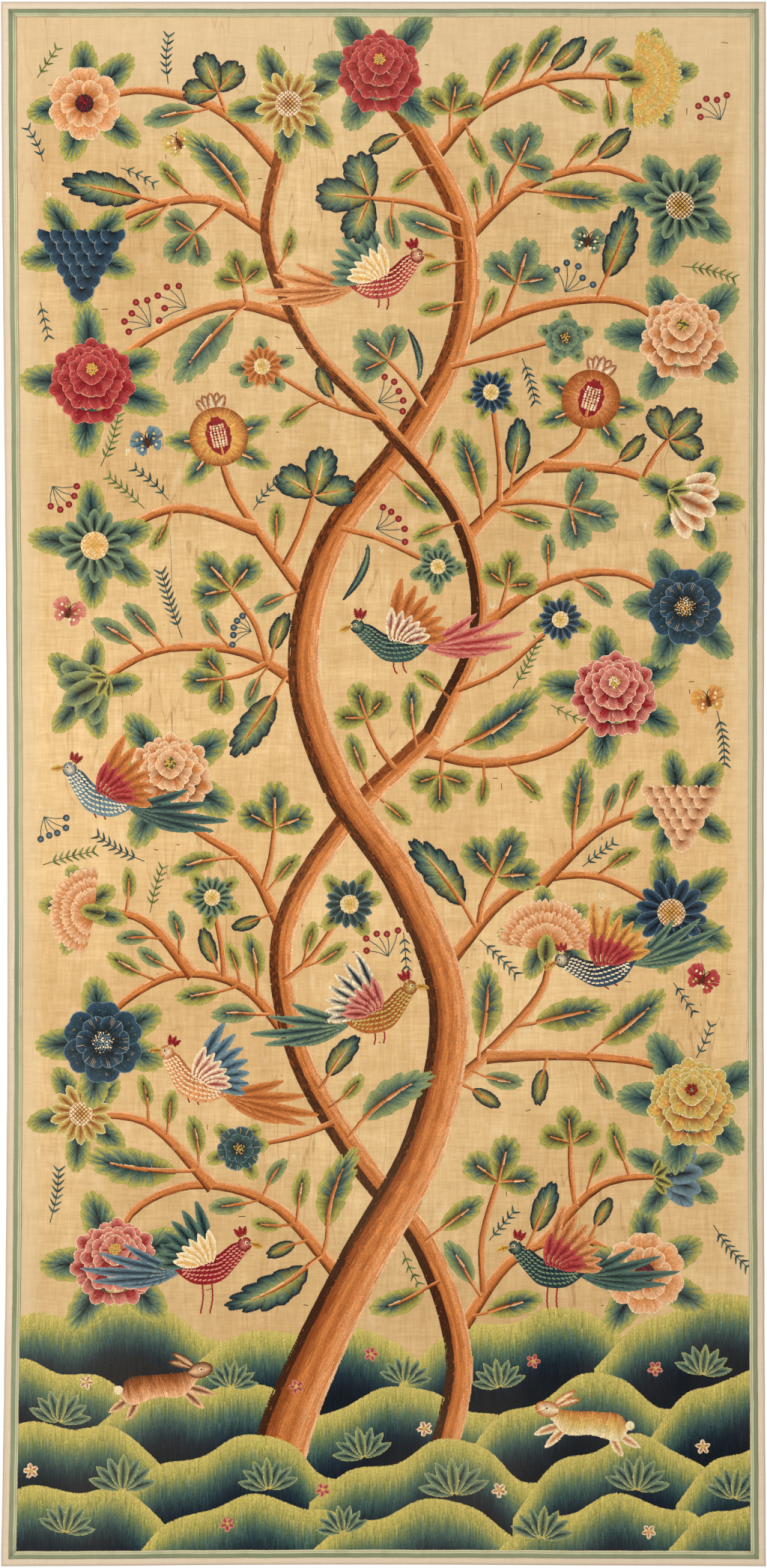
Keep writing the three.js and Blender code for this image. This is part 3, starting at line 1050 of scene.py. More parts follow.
def small_leaf(put, size):
    """A short leaf, less scalloped than the long one."""
    tones, rim = leaf_dyes()
    bend = size * dice.uniform(-0.2, 0.2)
    leaf(leaf_piece(put), put, size, size * 0.46, tones, bend, 5, 0.12, 1.2, 0.1, TWIG, rim)


def blade(piece, put, length, width, tones, bend=0.0, rim=None):
    """A plain pointed leaf of slanting stitches, as in tendrils, tufts and feathers."""
    leaf(piece, put, length, width, tones, bend, 0, 0.0, 1.6, 0.0, None, rim, pitch=2.2)


# %% [markdown]
# ## Blossoms
# A petal is a fan: u across its spread, v from the heart to a frilled rim. Rings of petals, the outer ring
# first, make a peony; other blossoms use leaves for petals. The hearts are knots or a trellis.

# %% Petals
BLOSSOM = "blossom_stitches"
PETAL_PITCH = 1.75


def petal(put, inner, outer, spread, tones, turn=0.0, frills=3, crown=0.2, frill=0.08,
          piece=BLOSSOM, rim=None):
    """Fan round a heart: the angle runs with u over the spread, in degrees, and the radius with v. The rim is
    lower at its sides by the crown, with frills added."""
    def patch(u, v):
        u = np.clip(u, 0, 1)
        angle = np.radians(turn + spread * (u - 0.5))
        edge = 1 - crown * (2 * u - 1) ** 2 + frill * (np.abs(np.sin(frills * np.pi * u)) - 0.5)
        radius = inner + (outer * edge - inner) * v
        return put(np.stack(np.broadcast_arrays(-radius * np.sin(angle), radius * np.cos(angle)), -1))

    needle.claim(patch)
    fill(piece, patch, tones if rim is None else tones[:-1], pitch=PETAL_PITCH)
    if rim is not None:
        stem_line(piece, lambda u: patch(u, np.ones_like(u)), rim, RIM_WIDTH, lift=RIM_LIFT)


def disc(put, radius, tones, piece=BLOSSOM):
    """A petal that goes all the way round, with no frills."""
    petal(put, 0.5, radius, 360, tones, 0, 0, 0.0, 0.0, piece)


# %% Blossoms
def peony(put, size, tones, seeds):
    """Rings of frilled petals, each ring's heart a little further up, as if seen from below. A petal is dark
    where the ring inside it begins, and pale at its rim."""
    for ring, (reach, count) in enumerate([(1.0, 7), (0.77, 6), (0.55, 5), (0.34, 4)]):
        heart = placed(0, 0.1 * size * ring, inside=put)
        for k in range(count):
            turn = 360 * k / count + 31 * ring + dice.uniform(-6, 6)
            inner = max(0.05, reach - 0.32) * size
            petal(heart, inner, reach * size, 480 / count, tones, turn, 3, 0.22, 0.12, rim=tones[-1])
    knot_disc(BLOSSOM, placed(0, 0.32 * size, inside=put), size * 0.14, seeds)


def anemone(put, size, tones, seeds):
    """Two rings of broad petals round a dark heart with knots."""
    for reach, count, shift in ((1.0, 6, 0), (0.66, 6, 30)):
        for k in range(count):
            turn = 360 * k / count + shift
            petal(put, 0.16 * size, reach * size, 78, tones, turn, 2, 0.3, 0.1, rim=tones[-1])
    disc(put, size * 0.25, yarns("ink navy"))
    knot_disc(BLOSSOM, put, size * 0.24, seeds, 3.6)


def aster(put, size, tones, seeds):
    """Narrow petals round a trellised heart."""
    for k in range(14):
        ray = placed(0, 0, 360 * k / 14, inside=put)
        leaf(BLOSSOM, ray, size, size * 0.42, tones[:-1], 0, 0, 0.0, 1.1, 0.5, None, tones[-1])
    disc(put, size * 0.38, yarns("mustard gold cream"))
    trellis(BLOSSOM, put, size * 0.37, 4.5, seeds[0])


def tulip(put, size, tones, seeds):
    """Five petals from one base, the outer ones first, in a cup of leaves."""
    for turn in (50, -50, 27, -27, 0):
        part = placed(0, -0.5 * size, turn, inside=put)
        leaf(BLOSSOM, part, size * 1.5, size * 0.72, tones, 0, 0, 0.0, 1.3, 0.0, None, tones[-1])
    for turn in (62, -62, 30, -30):
        blade(BLOSSOM, placed(0, -0.75 * size, turn, inside=put), size * 0.75, size * 0.3, LIGHT_LEAF)


def carnation(put, size, tones, seeds):
    """A fan of toothed petals in three rows above a green cup."""
    fan = placed(0, -0.6 * size, inside=put)
    for reach, count in ((1.7, 7), (1.3, 6), (0.92, 5)):
        for k in range(count):
            turn = 136 * (k / (count - 1) - 0.5)
            inner = (reach - 0.75) * size
            petal(fan, inner, reach * size, 34, tones, turn, 4, 0.05, 0.14, rim=tones[-1])
    leaf(BLOSSOM, placed(0, -1.05 * size, inside=put), size, size * 0.62, LIGHT_LEAF, 0, 0, 0, 1.0, 0.0, None)


def pomegranate(put, size, tones, seeds):
    """A round fruit between leaves, split to show its seeds, with a crown."""
    for turn in (128, -128, 76, -76):
        spoke = placed(0, -0.2 * size, turn, inside=put)
        leaf(BLOSSOM, spoke, size * 1.7, size * 0.72, LIGHT_LEAF, 0, 5, 0.14, 1.2)
    for turn in (40, 20, -20, -40, 0):
        blade(BLOSSOM, placed(0, 0.7 * size, turn, inside=put), size * 0.75, size * 0.3, tones[::-1])
    disc(put, size * 0.95, tones[::-1])
    split = placed(0, -0.6 * size, inside=put)
    leaf(BLOSSOM, split, size * 1.25, size * 0.8, yarns("wine crimson"), 0, 6, 0.1, 1.2)
    spot = np.stack(np.meshgrid(np.linspace(-0.22, 0.22, 5), np.linspace(-0.35, 0.4, 9)), -1).reshape(-1, 2)
    knots(BLOSSOM, put(spot * size * (1 - 0.3 * np.abs(spot[:, 1:]))), seeds, 3.2)


def cluster(put, size, tones, seeds):
    """A hanging bunch: rows of small round petals, each row shorter than the one above."""
    for row in range(6):
        for k in range(6 - row):
            spot = placed((k - (5 - row) / 2) * size * 0.36, (0.6 - 0.32 * row) * size, 180, inside=put)
            petal(spot, 0.5, size * 0.36, 210, tones, crown=0.1, rim=tones[-1])


def sepals(put, size, count):
    """Large leaves that show round a blossom."""
    tones, rim = (LIGHT_LEAF, yarns("lime")[0]) if dice.random() < 0.65 else (SEA_LEAF, yarns("moss")[0])
    for k in range(count):
        spoke = placed(0, 0, 360 * (k + 0.5 * dice.random()) / count, inside=put)
        long = size * dice.uniform(1.55, 1.85)
        leaf("sepal_stitches", spoke, long, size * 0.86, tones, 0, 8, 0.1, 1.05, 0.3, None, rim, pitch=2.1)


# %% [markdown]
# ## Sprigs, berries and tufts
# The gaps between large motifs hold light sprigs. A sprig is stem stitch with a pair of leaflets at each
# step, each leaflet three stitches that taper to its tip.

# %% Small growing things
SPRIG = "sprig_stitches"
LeafletStitch = namedtuple("LeafletStitch", "first last off_root off_tip broad fine")
LEAFLET = [
    LeafletStitch(0.0, 1.0, 0.0, 0.0, 1.9, 0.4),
    LeafletStitch(0.16, 0.88, 0.95, 0.35, 1.5, 0.6),
    LeafletStitch(0.16, 0.88, -0.95, -0.35, 1.5, 0.6),
]


def sprig(put, size):
    """Leaflets of three tapering stitches each stand in pairs along a bent stem."""
    tones = yarns("petrol teal sea") if dice.random() < 0.6 else yarns("olive leaf moss")
    bend = size * dice.uniform(-0.3, 0.3)
    rib = smooth(put([(0, 0), (bend * 0.3, size * 0.5), (bend, size)]))
    stem_line(SPRIG, rib, tones[0], 1.3, 6.0, 0.1)
    u = np.repeat(np.linspace(0.2, 0.96, int(size / 11)), 2)
    side = np.tile([1.0, -1.0], len(u) // 2)[:, None]
    root = rib(u)
    way = (left_of(rib, u) * side * 0.75 + ahead_of(rib, u) * 0.75) * (8 + size * 0.06)
    aside = np.stack([-way[:, 1], way[:, 0]], -1) * 0.1
    for stitch in LEAFLET:
        tone = tones[dice.integers(0, 3, len(u))]
        start = root + way * stitch.first + aside * stitch.off_root
        end = root + way * stitch.last + aside * stitch.off_tip
        needle.sew(SPRIG, start, end, np.tile([stitch.broad, stitch.fine], (len(u), 1)), tone)


def berries(put, size):
    """Round berries on thin stalks from one point."""
    tones = yarns("rose crimson crimson wine") if dice.random() < 0.75 else yarns("sky blue navy")
    for turn in np.linspace(-48, 48, 5):
        reach = size * dice.uniform(0.65, 1.0)
        stalk = placed(0, 0, turn, inside=put)
        line = smooth(stalk([(0, 0), (2, reach * 0.5), (0, reach)]))
        stem_line(SPRIG, line, yarns("teal")[0], 1.2, 6, 0.1)
        disc(placed(0, reach, inside=stalk), 4.8, tones, SPRIG)


def tendril(put, size):
    """One thin blade, bent well to the left or the right."""
    bend = size * (0.6 if dice.random() < 0.5 else -0.6)
    blade(SPRIG, put, size, size * 0.13, yarns("sage sea teal navy"), bend)


def tuft(put, size):
    """A fan of blades with dark hearts and pale rims."""
    for turn in (74, -74, 50, -50, 26, -26, 0):
        spoke = placed(0, 0, turn, inside=put)
        tones = yarns("navy petrol sea sage") if turn % 4 else yarns("petrol teal sage moss")
        blade(SPRIG, spoke, size, size * 0.3, tones, 0.0, yarns("straw")[0])


def daisy(put, size):
    """Five satin petals and a knot."""
    tones = yarns("wine rose pink") if dice.random() < 0.5 else yarns("rust peach cream")
    for k in range(5):
        spoke = placed(0, 0, 72 * k, inside=put)
        leaf(SPRIG, spoke, size, size * 0.75, tones, 0, 0, 0, 1, 0.4, None)
    knots(SPRIG, put(np.array([(0.0, 0.0), (1.5, 0.0), (0.0, 1.5)])), yarns("mustard"), 2.6)


# %% [markdown]
# ## Hillocks
# The tree stands on overlapping hillocks, each worked in upright stitches that shade from a straw crest to
# a dark foot, the far ones first. A hillock is a crest, drawn through a few points, carried straight down.

# %% Hillocks
DROP = 170.0
SHADED_OVER = 105.0
CREST_SHOWS = 1.5
HILL_STITCH = 20.0
HILL_PITCH = 2.0
FAR_CRESTS = [
    [(-575, 352), (-520, 372), (-455, 366), (-400, 392), (-330, 380), (-270, 338), (-215, 318), (-150, 250)],
    [(-300, 280), (-235, 330), (-180, 345), (-110, 338), (-60, 352), (10, 330), (60, 290), (110, 240)],
    [(20, 262), (70, 322), (120, 352), (190, 356), (240, 378), (300, 372), (350, 336), (410, 262)],
    [(310, 290), (370, 352), (420, 372), (480, 400), (575, 392)],
]
MIDDLE_CRESTS = [
    [(-575, 300), (-530, 306), (-480, 284), (-420, 280), (-370, 240), (-320, 170)],
    [(-450, 180), (-400, 226), (-330, 262), (-270, 256), (-210, 270), (-140, 250), (-90, 200), (-60, 150)],
    [(-180, 150), (-130, 206), (-60, 232), (0, 262), (70, 256), (120, 228), (180, 216), (230, 150)],
    [(120, 160), (170, 222), (230, 240), (290, 282), (350, 276), (400, 236), (450, 222), (500, 150)],
    [(380, 170), (440, 250), (490, 268), (575, 306)],
]
NEAR_CRESTS = [
    [(-575, 196), (-520, 214), (-460, 202), (-400, 206), (-340, 160), (-290, 96)],
    [(-400, 90), (-340, 146), (-270, 160), (-210, 192), (-140, 180), (-90, 132), (-20, 120), (20, 70)],
    [(-110, 92), (-50, 140), (20, 150), (80, 186), (150, 172), (200, 126), (260, 118), (310, 60)],
    [(190, 70), (250, 150), (310, 168), (370, 196), (430, 168), (480, 140), (540, 80)],
    [(430, 90), (480, 152), (530, 168), (575, 190)],
    [(-575, 96), (-520, 120), (-450, 108), (-390, 116), (-330, 70), (-290, 10)],
    [(-370, 6), (-320, 62), (-250, 84), (-190, 106), (-120, 84), (-70, 76), (-20, 10)],
    [(-120, 8), (-60, 58), (0, 70), (60, 98), (130, 86), (180, 50), (240, 8)],
    [(150, 6), (220, 66), (280, 78), (340, 108), (410, 86), (460, 76), (520, 10)],
    [(420, 26), (470, 76), (520, 84), (575, 104)],
]


def mound(points):
    """u runs along the crest and v straight down, by the same drop everywhere, so the shades follow the
    crest."""
    crest = smooth(points)
    phase = dice.uniform(0, 6)

    def patch(u, v):
        u = np.clip(u, 0, 1)
        top = crest(u)
        sway = 3 * np.sin(14 * u + phase) * v
        return np.stack(np.broadcast_arrays(top[..., 0] + sway, top[..., 1] - DROP * v), -1)

    def shade(u, v):
        return DROP / SHADED_OVER * v + 0.06 * np.sin(11 * u + phase) * v

    needle.claim(lambda u, v: patch(u, v) - (0, CREST_SHOWS))
    fill("hillock_stitches", patch, HILL, HILL_STITCH, HILL_PITCH, shade, mingle=0.2)


print("hillocks:", len(FAR_CRESTS + MIDDLE_CRESTS + NEAR_CRESTS))

# %% [markdown]
# ## Birds, butterflies and hares
# Small creatures fill the open ground. A body is a ruled patch between two curves, feathers and limbs are
# blades, and scales are rows of small stitches in another yarn, laid over the body.

# %% Creatures
CREATURE = "creature_stitches"
BIRD_TAIL = [(116, 96), (106, 132), (97, 150), (88, 124), (79, 92)]
BIRD_BACK = [(-46, 5), (-20, 22), (14, 25), (38, 42), (58, 47)]
BIRD_BELLY = [(-46, 3), (-16, -16), (20, -13), (44, 10), (62, 34)]
HARE_LIMBS = [(-40, 2, 128, 46), (-34, -2, 158, 40), (34, 4, -104, 48), (30, 0, -128, 44)]
HARE_BACK = [(-60, 6), (-44, 26), (-8, 27), (28, 26), (54, 30)]
HARE_BELLY = [(-60, 4), (-46, -14), (-6, -8), (30, -10), (56, 12)]


def between(put, upper, lower):
    """Ruled patch: u runs along two curves, and v from the one to the other."""
    top = smooth(put(upper))
    bottom = smooth(put(lower))
    return lambda u, v: top(u) * (1 - np.asarray(v))[..., None] + bottom(u) * np.asarray(v)[..., None]


def eye(put, x, y):
    """A cream knot with a smaller dark one on it."""
    knots(CREATURE, put(np.array([(x, y)])), yarns("cream"), 4.0, 0.5)
    knots(CREATURE, put(np.array([(x + 0.4, y)])), yarns("ink"), 2.2, 1.4)


def bird(put, coat, wing, tail, legs):
    """Tail and raised wing of feathers, a scaled body, a round head, a beak and two legs. It looks right."""
    needle.motif += 1
    for foot in (-6, 8):
        leg = smooth(put([(foot, -8), (foot + 2, -14 - legs * 0.5), (foot - 2, -14 - legs)]))
        stem_line(CREATURE, leg, yarns("crimson")[0], 2.2, 6, 0.1)
    for turn, long in BIRD_TAIL:
        blade(CREATURE, placed(-36, 4, turn, inside=put), long, 13, tail, 22)
    body = between(put, BIRD_BACK, BIRD_BELLY)
    needle.claim(body)
    fill(CREATURE, body, coat[:2])
    u, v = np.meshgrid(np.linspace(0.1, 0.92, 17), np.linspace(0.14, 0.86, 5))
    scale = body(u + 0.024 * (np.arange(5) % 2)[:, None], v).reshape(-1, 2)
    ahead = put((5.0, 1.5)) - put((0.0, 0.0))
    needle.sew(CREATURE, scale, scale + ahead, 2.4, np.tile(coat[2], (len(scale), 1)), 0.45)
    for k in range(7):
        blade(CREATURE, placed(8 - 4 * k, 17 - k, 10 + 12 * k, inside=put), 92 - 6 * k, 15, wing[0], -8)
    for k in range(6):
        covert = placed(10 - 4 * k, 15 - k, 4 + 14 * k, inside=put)
        blade(CREATURE, covert, 50 - 2 * k, 14, wing[1], -4, wing[1][-1])
    disc(placed(57, 42, inside=put), 10.5, coat[::-1], CREATURE)
    blade(CREATURE, placed(64, 43, -98, inside=put), 22, 8, yarns("rust tan mustard"), 3)
    for turn in (40, 14, -12):
        blade(CREATURE, placed(54, 49, turn, inside=put), 20, 5, yarns("wine crimson"))
    eye(put, 60, 44)


def butterfly(put, size, tones, spots):
    """Four fans for wings, a blade for the body, and two feelers."""
    for turn, spread, reach in ((118, 54, 0.75), (-118, 54, 0.75), (52, 66, 1.0), (-52, 66, 1.0)):
        petal(put, 1.5, reach * size, spread, tones, turn, 3, 0.12, 0.08, CREATURE)
        wing = placed(0, 0, turn, inside=put)
        knots(CREATURE, wing(np.array([(0.0, reach * size * 0.62), (3.5, reach * size * 0.4)])), spots, 3.4)
    blade(CREATURE, placed(0, -0.5 * size, inside=put), size * 0.95, size * 0.17, yarns("soot bark"))
    for side in (1, -1):
        feeler = smooth(put([(0, size * 0.4), (side * 3, size * 0.6), (side * 8, size * 0.75)]))
        stem_line(CREATURE, feeler, yarns("bark")[0], 1.1, 5, 0.1)


def hare(put, coat):
    """A leaping hare: limbs first, then the body, the head and the ears. It looks right."""
    for x, y, turn, long in HARE_LIMBS:
        blade(CREATURE, placed(x, y, turn, inside=put), long, 13, coat, 6)
    body = between(put, HARE_BACK, HARE_BELLY)
    needle.claim(body)
    fill(CREATURE, body, coat)
    for turn in (66, 46):
        blade(CREATURE, placed(54, 30, turn, inside=put), 42, 11, coat[::-1], -4, coat[0])
    leaf(CREATURE, placed(44, 24, -84, inside=put), 36, 24, coat[::-1], 0, 0, 0, 1.0, 0.0, None)
    disc(placed(-62, 10, inside=put), 7, yarns("cream bone"), CREATURE)
    eye(put, 62, 27)


# %% [markdown]
# ## The design
# The design is a free one in the old manner: two stems wind round each other from the hillocks to the top,
# and side branches scroll out to blossoms. The far hillocks come first, then the branches, the stems over
# them, and the near hillocks over the roots. Tables give the paths, in millimetres from the middle of the
# lower edge.

# %% Stems, branches and blossoms
ROSE = yarns("wine wine crimson crimson rose pink cream")
MADDER = yarns("wine wine crimson crimson rose pink")
PEACH = yarns("rust tan tan orange peach blush cream")
GOLD = yarns("rust orange gold gold mustard straw cream")
INDIGO = yarns("ink ink navy petrol blue sky")
VERDURE = yarns("ink navy petrol teal sea sage moss")

TRUNK = [(-172, 60), (-136, 220), (-40, 430), (60, 620), (95, 820), (30, 1000), (-70, 1150), (-120, 1320),
         (-80, 1500), (30, 1650), (110, 1800), (120, 1960), (60, 2090), (10, 2160)]
LOWER_TWINER = [(78, 120), (112, 300), (60, 470), (-40, 600), (-130, 760), (-150, 930), (-60, 1090),
                (70, 1220)]
UPPER_TWINER = [(70, 1220), (140, 1380), (110, 1540), (0, 1680), (-110, 1800), (-170, 1950), (-150, 2080)]

Branch = namedtuple("Branch", "path bloom size dyes seeds")
BRANCHES = [
    Branch([(-70, 430), (-165, 530), (-280, 560), (-375, 520), (-400, 445)], peony, 64, ROSE, "mustard gold"),
    Branch([(-255, 556), (-350, 650), (-452, 665)], aster, 46, GOLD, "rust"),
    Branch([(-130, 760), (-210, 850), (-310, 870), (-400, 820), (-420, 770)], anemone, 60, INDIGO,
           "cream sky"),
    Branch([(-285, 868), (-360, 950), (-455, 965)], carnation, 38, PEACH, "cream"),
    Branch([(-150, 930), (-205, 1030), (-290, 1090), (-320, 1160)], peony, 62, PEACH, "olive mustard"),
    Branch([(-115, 1290), (-215, 1345), (-340, 1345), (-440, 1290)], tulip, 44, VERDURE, "cream"),
    Branch([(-105, 1410), (-180, 1510), (-230, 1590), (-245, 1660)], pomegranate, 46, GOLD, "cream blush"),
    Branch([(-190, 1525), (-310, 1555), (-430, 1500)], aster, 54, VERDURE, "gold"),
    Branch([(-130, 1835), (-230, 1855), (-340, 1810), (-432, 1740)], peony, 62, MADDER, "mustard gold"),
    Branch([(-168, 1960), (-260, 2010), (-370, 1990), (-446, 1930)], cluster, 52, INDIGO, "sky"),
    Branch([(-155, 2060), (-240, 2140), (-350, 2170), (-440, 2150)], anemone, 54, PEACH, "wine crimson"),
    Branch([(-150, 2070), (-152, 2110), (-140, 2150)], aster, 50, GOLD, "wine"),
    Branch([(108, 340), (190, 450), (290, 480), (385, 430)], anemone, 60, PEACH, "wine crimson"),
    Branch([(230, 470), (320, 560), (430, 575)], tulip, 42, INDIGO, "sky"),
    Branch([(80, 690), (160, 760), (235, 850), (240, 930)], carnation, 42, PEACH, "cream"),
    Branch([(150, 748), (280, 750), (400, 735), (455, 680)], peony, 64, GOLD, "wine crimson"),
    Branch([(88, 880), (190, 990), (310, 1015), (425, 960)], aster, 54, INDIGO, "rust"),
    Branch([(230, 1002), (330, 1090), (440, 1115)], cluster, 48, PEACH, "gold"),
    Branch([(50, 1200), (150, 1180), (260, 1205), (340, 1280)], peony, 62, ROSE, "mustard cream"),
    Branch([(140, 1380), (240, 1445), (350, 1460), (444, 1410)], anemone, 56, INDIGO, "cream gold"),
    Branch([(120, 1510), (210, 1600), (285, 1650), (305, 1715)], pomegranate, 46, PEACH, "cream blush"),
    Branch([(235, 1618), (350, 1610), (450, 1565)], tulip, 44, PEACH, "cream"),
    Branch([(112, 1800), (220, 1850), (350, 1860), (440, 1805)], peony, 62, PEACH, "olive mustard"),
    Branch([(118, 1950), (210, 2030), (330, 2055), (436, 2000)], aster, 54, VERDURE, "soot"),
    Branch([(75, 2075), (150, 2150), (260, 2190), (390, 2185)], carnation, 42, GOLD, "crimson"),
    Branch([(20, 2140), (0, 2170), (-6, 2196)], peony, 60, MADDER, "mustard gold"),
]

for points in FAR_CRESTS:
    mound(points)
paths = [stem(row.path, 23, 9, TWIG) for row in BRANCHES]
for points in MIDDLE_CRESTS:
    mound(points)
paths.append(stem(LOWER_TWINER, 42, 26, BARK, True))
paths.append(stem(TRUNK, 92, 26, BARK, True))
paths.append(stem(UPPER_TWINER, 26, 14, BARK, True))
for points in NEAR_CRESTS:
    mound(points)


def heading(path, u):
    """Turn, in degrees, that points a motif along a path."""
    way = ahead_of(path, np.asarray(u, float))
    return np.degrees(np.arctan2(-way[0], way[1]))


for row, path in zip(BRANCHES, paths):
    turn = heading(path, 1.0) if row.bloom in (tulip, carnation, pomegranate) else 0.0
    spot = placed(*row.path[-1], turn)
    if row.bloom is not pomegranate:
        sepals(spot, row.size, 5)
    row.bloom(spot, row.size, row.dyes, yarns(row.seeds))
print("motifs so far:", needle.motif)

# %% Creatures in the open ground
Bird = namedtuple("Bird", "x h turn mirror legs coat first second tail")
BIRDS = [
    Bird(-14, 800, 8, 1, 20, "rust tan straw", "ink navy blue cream", "wine crimson pink", "navy teal sage"),
    Bird(20, 1345, 6, -1, 20, "navy teal sage", "rust tan orange", "wine rose cream", "crimson rose pink"),
    Bird(-5, 1880, 4, 1, 20, "wine rose blush", "petrol sea sage", "gold straw cream", "rust orange peach"),
    Bird(-280, 700, -14, -1, 8, "tan peach cream", "navy blue sky", "crimson pink cream", "rust tan orange"),
    Bird(330, 870, 20, -1, 8, "ink blue cream", "rust orange gold", "wine crimson rose", "petrol teal sage"),
    Bird(-265, 430, 0, 1, 46, "wine crimson pink", "ink petrol sea", "gold straw cream", "navy blue sky"),
    Bird(250, 425, 0, -1, 46, "navy petrol sage", "rust tan peach", "wine crimson rose", "ink teal sea"),
    Bird(-420, 1120, -10, -1, 8, "blue sky cream", "rust tan orange", "wine crimson rose", "navy petrol sea"),
]
for row in BIRDS:
    wing = (yarns(row.first), yarns(row.second))
    bird(placed(row.x, row.h, row.turn, row.mirror), yarns(row.coat), wing, yarns(row.tail), row.legs)

Butterfly = namedtuple("Butterfly", "x h turn dyes")
BUTTERFLIES = [
    Butterfly(-350, 1650, 20, "navy blue sky"),
    Butterfly(470, 860, -25, "wine crimson rose"),
    Butterfly(480, 1270, 15, "rust orange gold"),
    Butterfly(300, 1945, -10, "ink petrol sage"),
    Butterfly(-470, 1400, -20, "wine rose pink"),
    Butterfly(-300, 2090, 30, "rust gold straw"),
]
for row in BUTTERFLIES:
    butterfly(placed(row.x, row.h, row.turn), 27, yarns(row.dyes), yarns("cream straw"))
hare(placed(-330, 255, 6), yarns("bark rust tan peach blush"))
hare(placed(300, 200, -4, -1), yarns("tan gold straw cream"))
print("birds:", len(BIRDS))

# %% [markdown]
# ## Leaves where there is room
# Placing well over a hundred leaves and sprigs by hand would be slow and would look it. Instead each stem
# tries leaves on both sides, at steps along its length, and keeps one only where the owner map says the
# cloth is bare.

# %% Growing shoots, leaves and sprigs
TRIES = 6
CLEAR = 9.0
OFF_STEM = 17.0
SHORTEST_STALK = 12
MOTIF_OVERLAP = 0.01
STALK_OVERLAP = 0.06
CORE = np.array([(0, 0.2), (0, 0.55), (0, 0.95), (-0.2, 0.5), (0.2, 0.5)])
PALETTES = [VERDURE, INDIGO, yarns("wine crimson rose"), yarns("rust tan orange peach"),
            yarns("ink petrol teal sky")]


def rosette(put, size):
    """A small blossom with its leaves."""
    heart = placed(0, size * 0.5, inside=put)
    kind = (anemone, aster)[dice.integers(2)]
    sepals(heart, size * 0.34, 5)
    kind(heart, size * 0.4, PALETTES[dice.integers(len(PALETTES))], yarns("mustard gold"))


Kind = namedtuple("Kind", "draw size shape stalk width")
SHOOTS = [Kind(trefoil, 124, 0.92, 105, 11), Kind(trefoil, 110, 0.92, 75, 10), Kind(trefoil, 98, 0.92, 60, 9),
          Kind(rosette, 84, 1.0, 95, 10)]
LEAVES = [Kind(trefoil, 108, 0.92, 30, 7), Kind(long_leaf, 112, 0.44, 22, 6), Kind(trefoil, 88, 0.92, 22, 6)]
FILLERS = [Kind(small_leaf, 70, 0.48, 14, 5), Kind(sprig, 92, 0.34, 2, 0), Kind(tendril, 70, 0.5, 2, 0),
           Kind(berries, 46, 0.9, 2, 0), Kind(sprig, 66, 0.36, 2, 0), Kind(small_leaf, 50, 0.5, 10, 4)]


def oval(put, length, width):
    """The ground that a motif needs: an oval in front of its base."""
    def patch(u, v):
        across = (u - 0.5) * width * np.sqrt(np.clip(1.1 - (2 * v - 1) ** 2, 0, 1))
        return put(np.stack(np.broadcast_arrays(across, v * length), -1))

    return patch


def grow(path, kinds, every):
    """Tries motifs along both sides of a stem, turned outwards on a bent stalk, and draws the first that
    finds bare cloth. Gives the paths of the stalks."""
    stalks = []
    for u in even(path, every)[1:-1]:
        for side in (1, -1):
            for kind in (kinds[k] for k in np.repeat(dice.permutation(len(kinds)), TRIES)):
                size = kind.size * dice.uniform(0.85, 1.15)
                stalk = kind.stalk * dice.uniform(0.7, 1.5) + SHORTEST_STALK
                bend = stalk * dice.uniform(-0.35, 0.35)
                root = placed(*path(u), heading(path, u) + side * dice.uniform(36, 94))
                points = root([(0, 2), (bend * 0.2, stalk * 0.5), (bend, stalk)])
                line = smooth(points)
                tip = placed(*points[-1], heading(line, 1.0))
                if needle.owner[cells(tip(CORE * size))].any():
                    continue
                needed = oval(placed(0, 2, inside=tip), size * 1.04, size * kind.shape * 1.06)
                free = min(0.6, OFF_STEM / stalk)

                def lane(u, v):
                    """The strip that the stalk needs, clear of the stem it grows from."""
                    aside = left_of(line, v) * ((u - 0.5) * CLEAR)[..., None]
                    return line(free + (1 - free) * v) + aside

                if needle.taken(needed) > MOTIF_OVERLAP or needle.taken(lane) > STALK_OVERLAP:
                    continue
                needle.claim(oval(tip, size, size * kind.shape))
                if kind.width:
                    stem([*points, tip((0, 8))], kind.width, kind.width * 0.7, TWIG)
                kind.draw(tip, size)
                stalks.append(line)
                break
    return stalks


for kinds, every in ((SHOOTS, 70), (LEAVES, 34), (FILLERS, 30)):
    grown = [line for path in paths for line in grow(path, kinds, every)]
    paths += grown if kinds is SHOOTS else []
    print("grown:", len(grown))


def scatter(draw, size, shape, count):
    """Motifs with no stalk, on cloth that is still bare."""
    for x, h in np.stack([dice.uniform(-510, 510, count), dice.uniform(420, 2250, count)], -1):
        put = placed(x, h, dice.uniform(-180, 180))
        if needle.taken(oval(put, size, size * shape)) < MOTIF_OVERLAP:
            needle.claim(oval(put, size, size * shape))
            draw(put, size)


scatter(sprig, 78, 0.42, 900)
scatter(berries, 42, 0.95, 500)
scatter(sprig, 52, 0.5, 700)

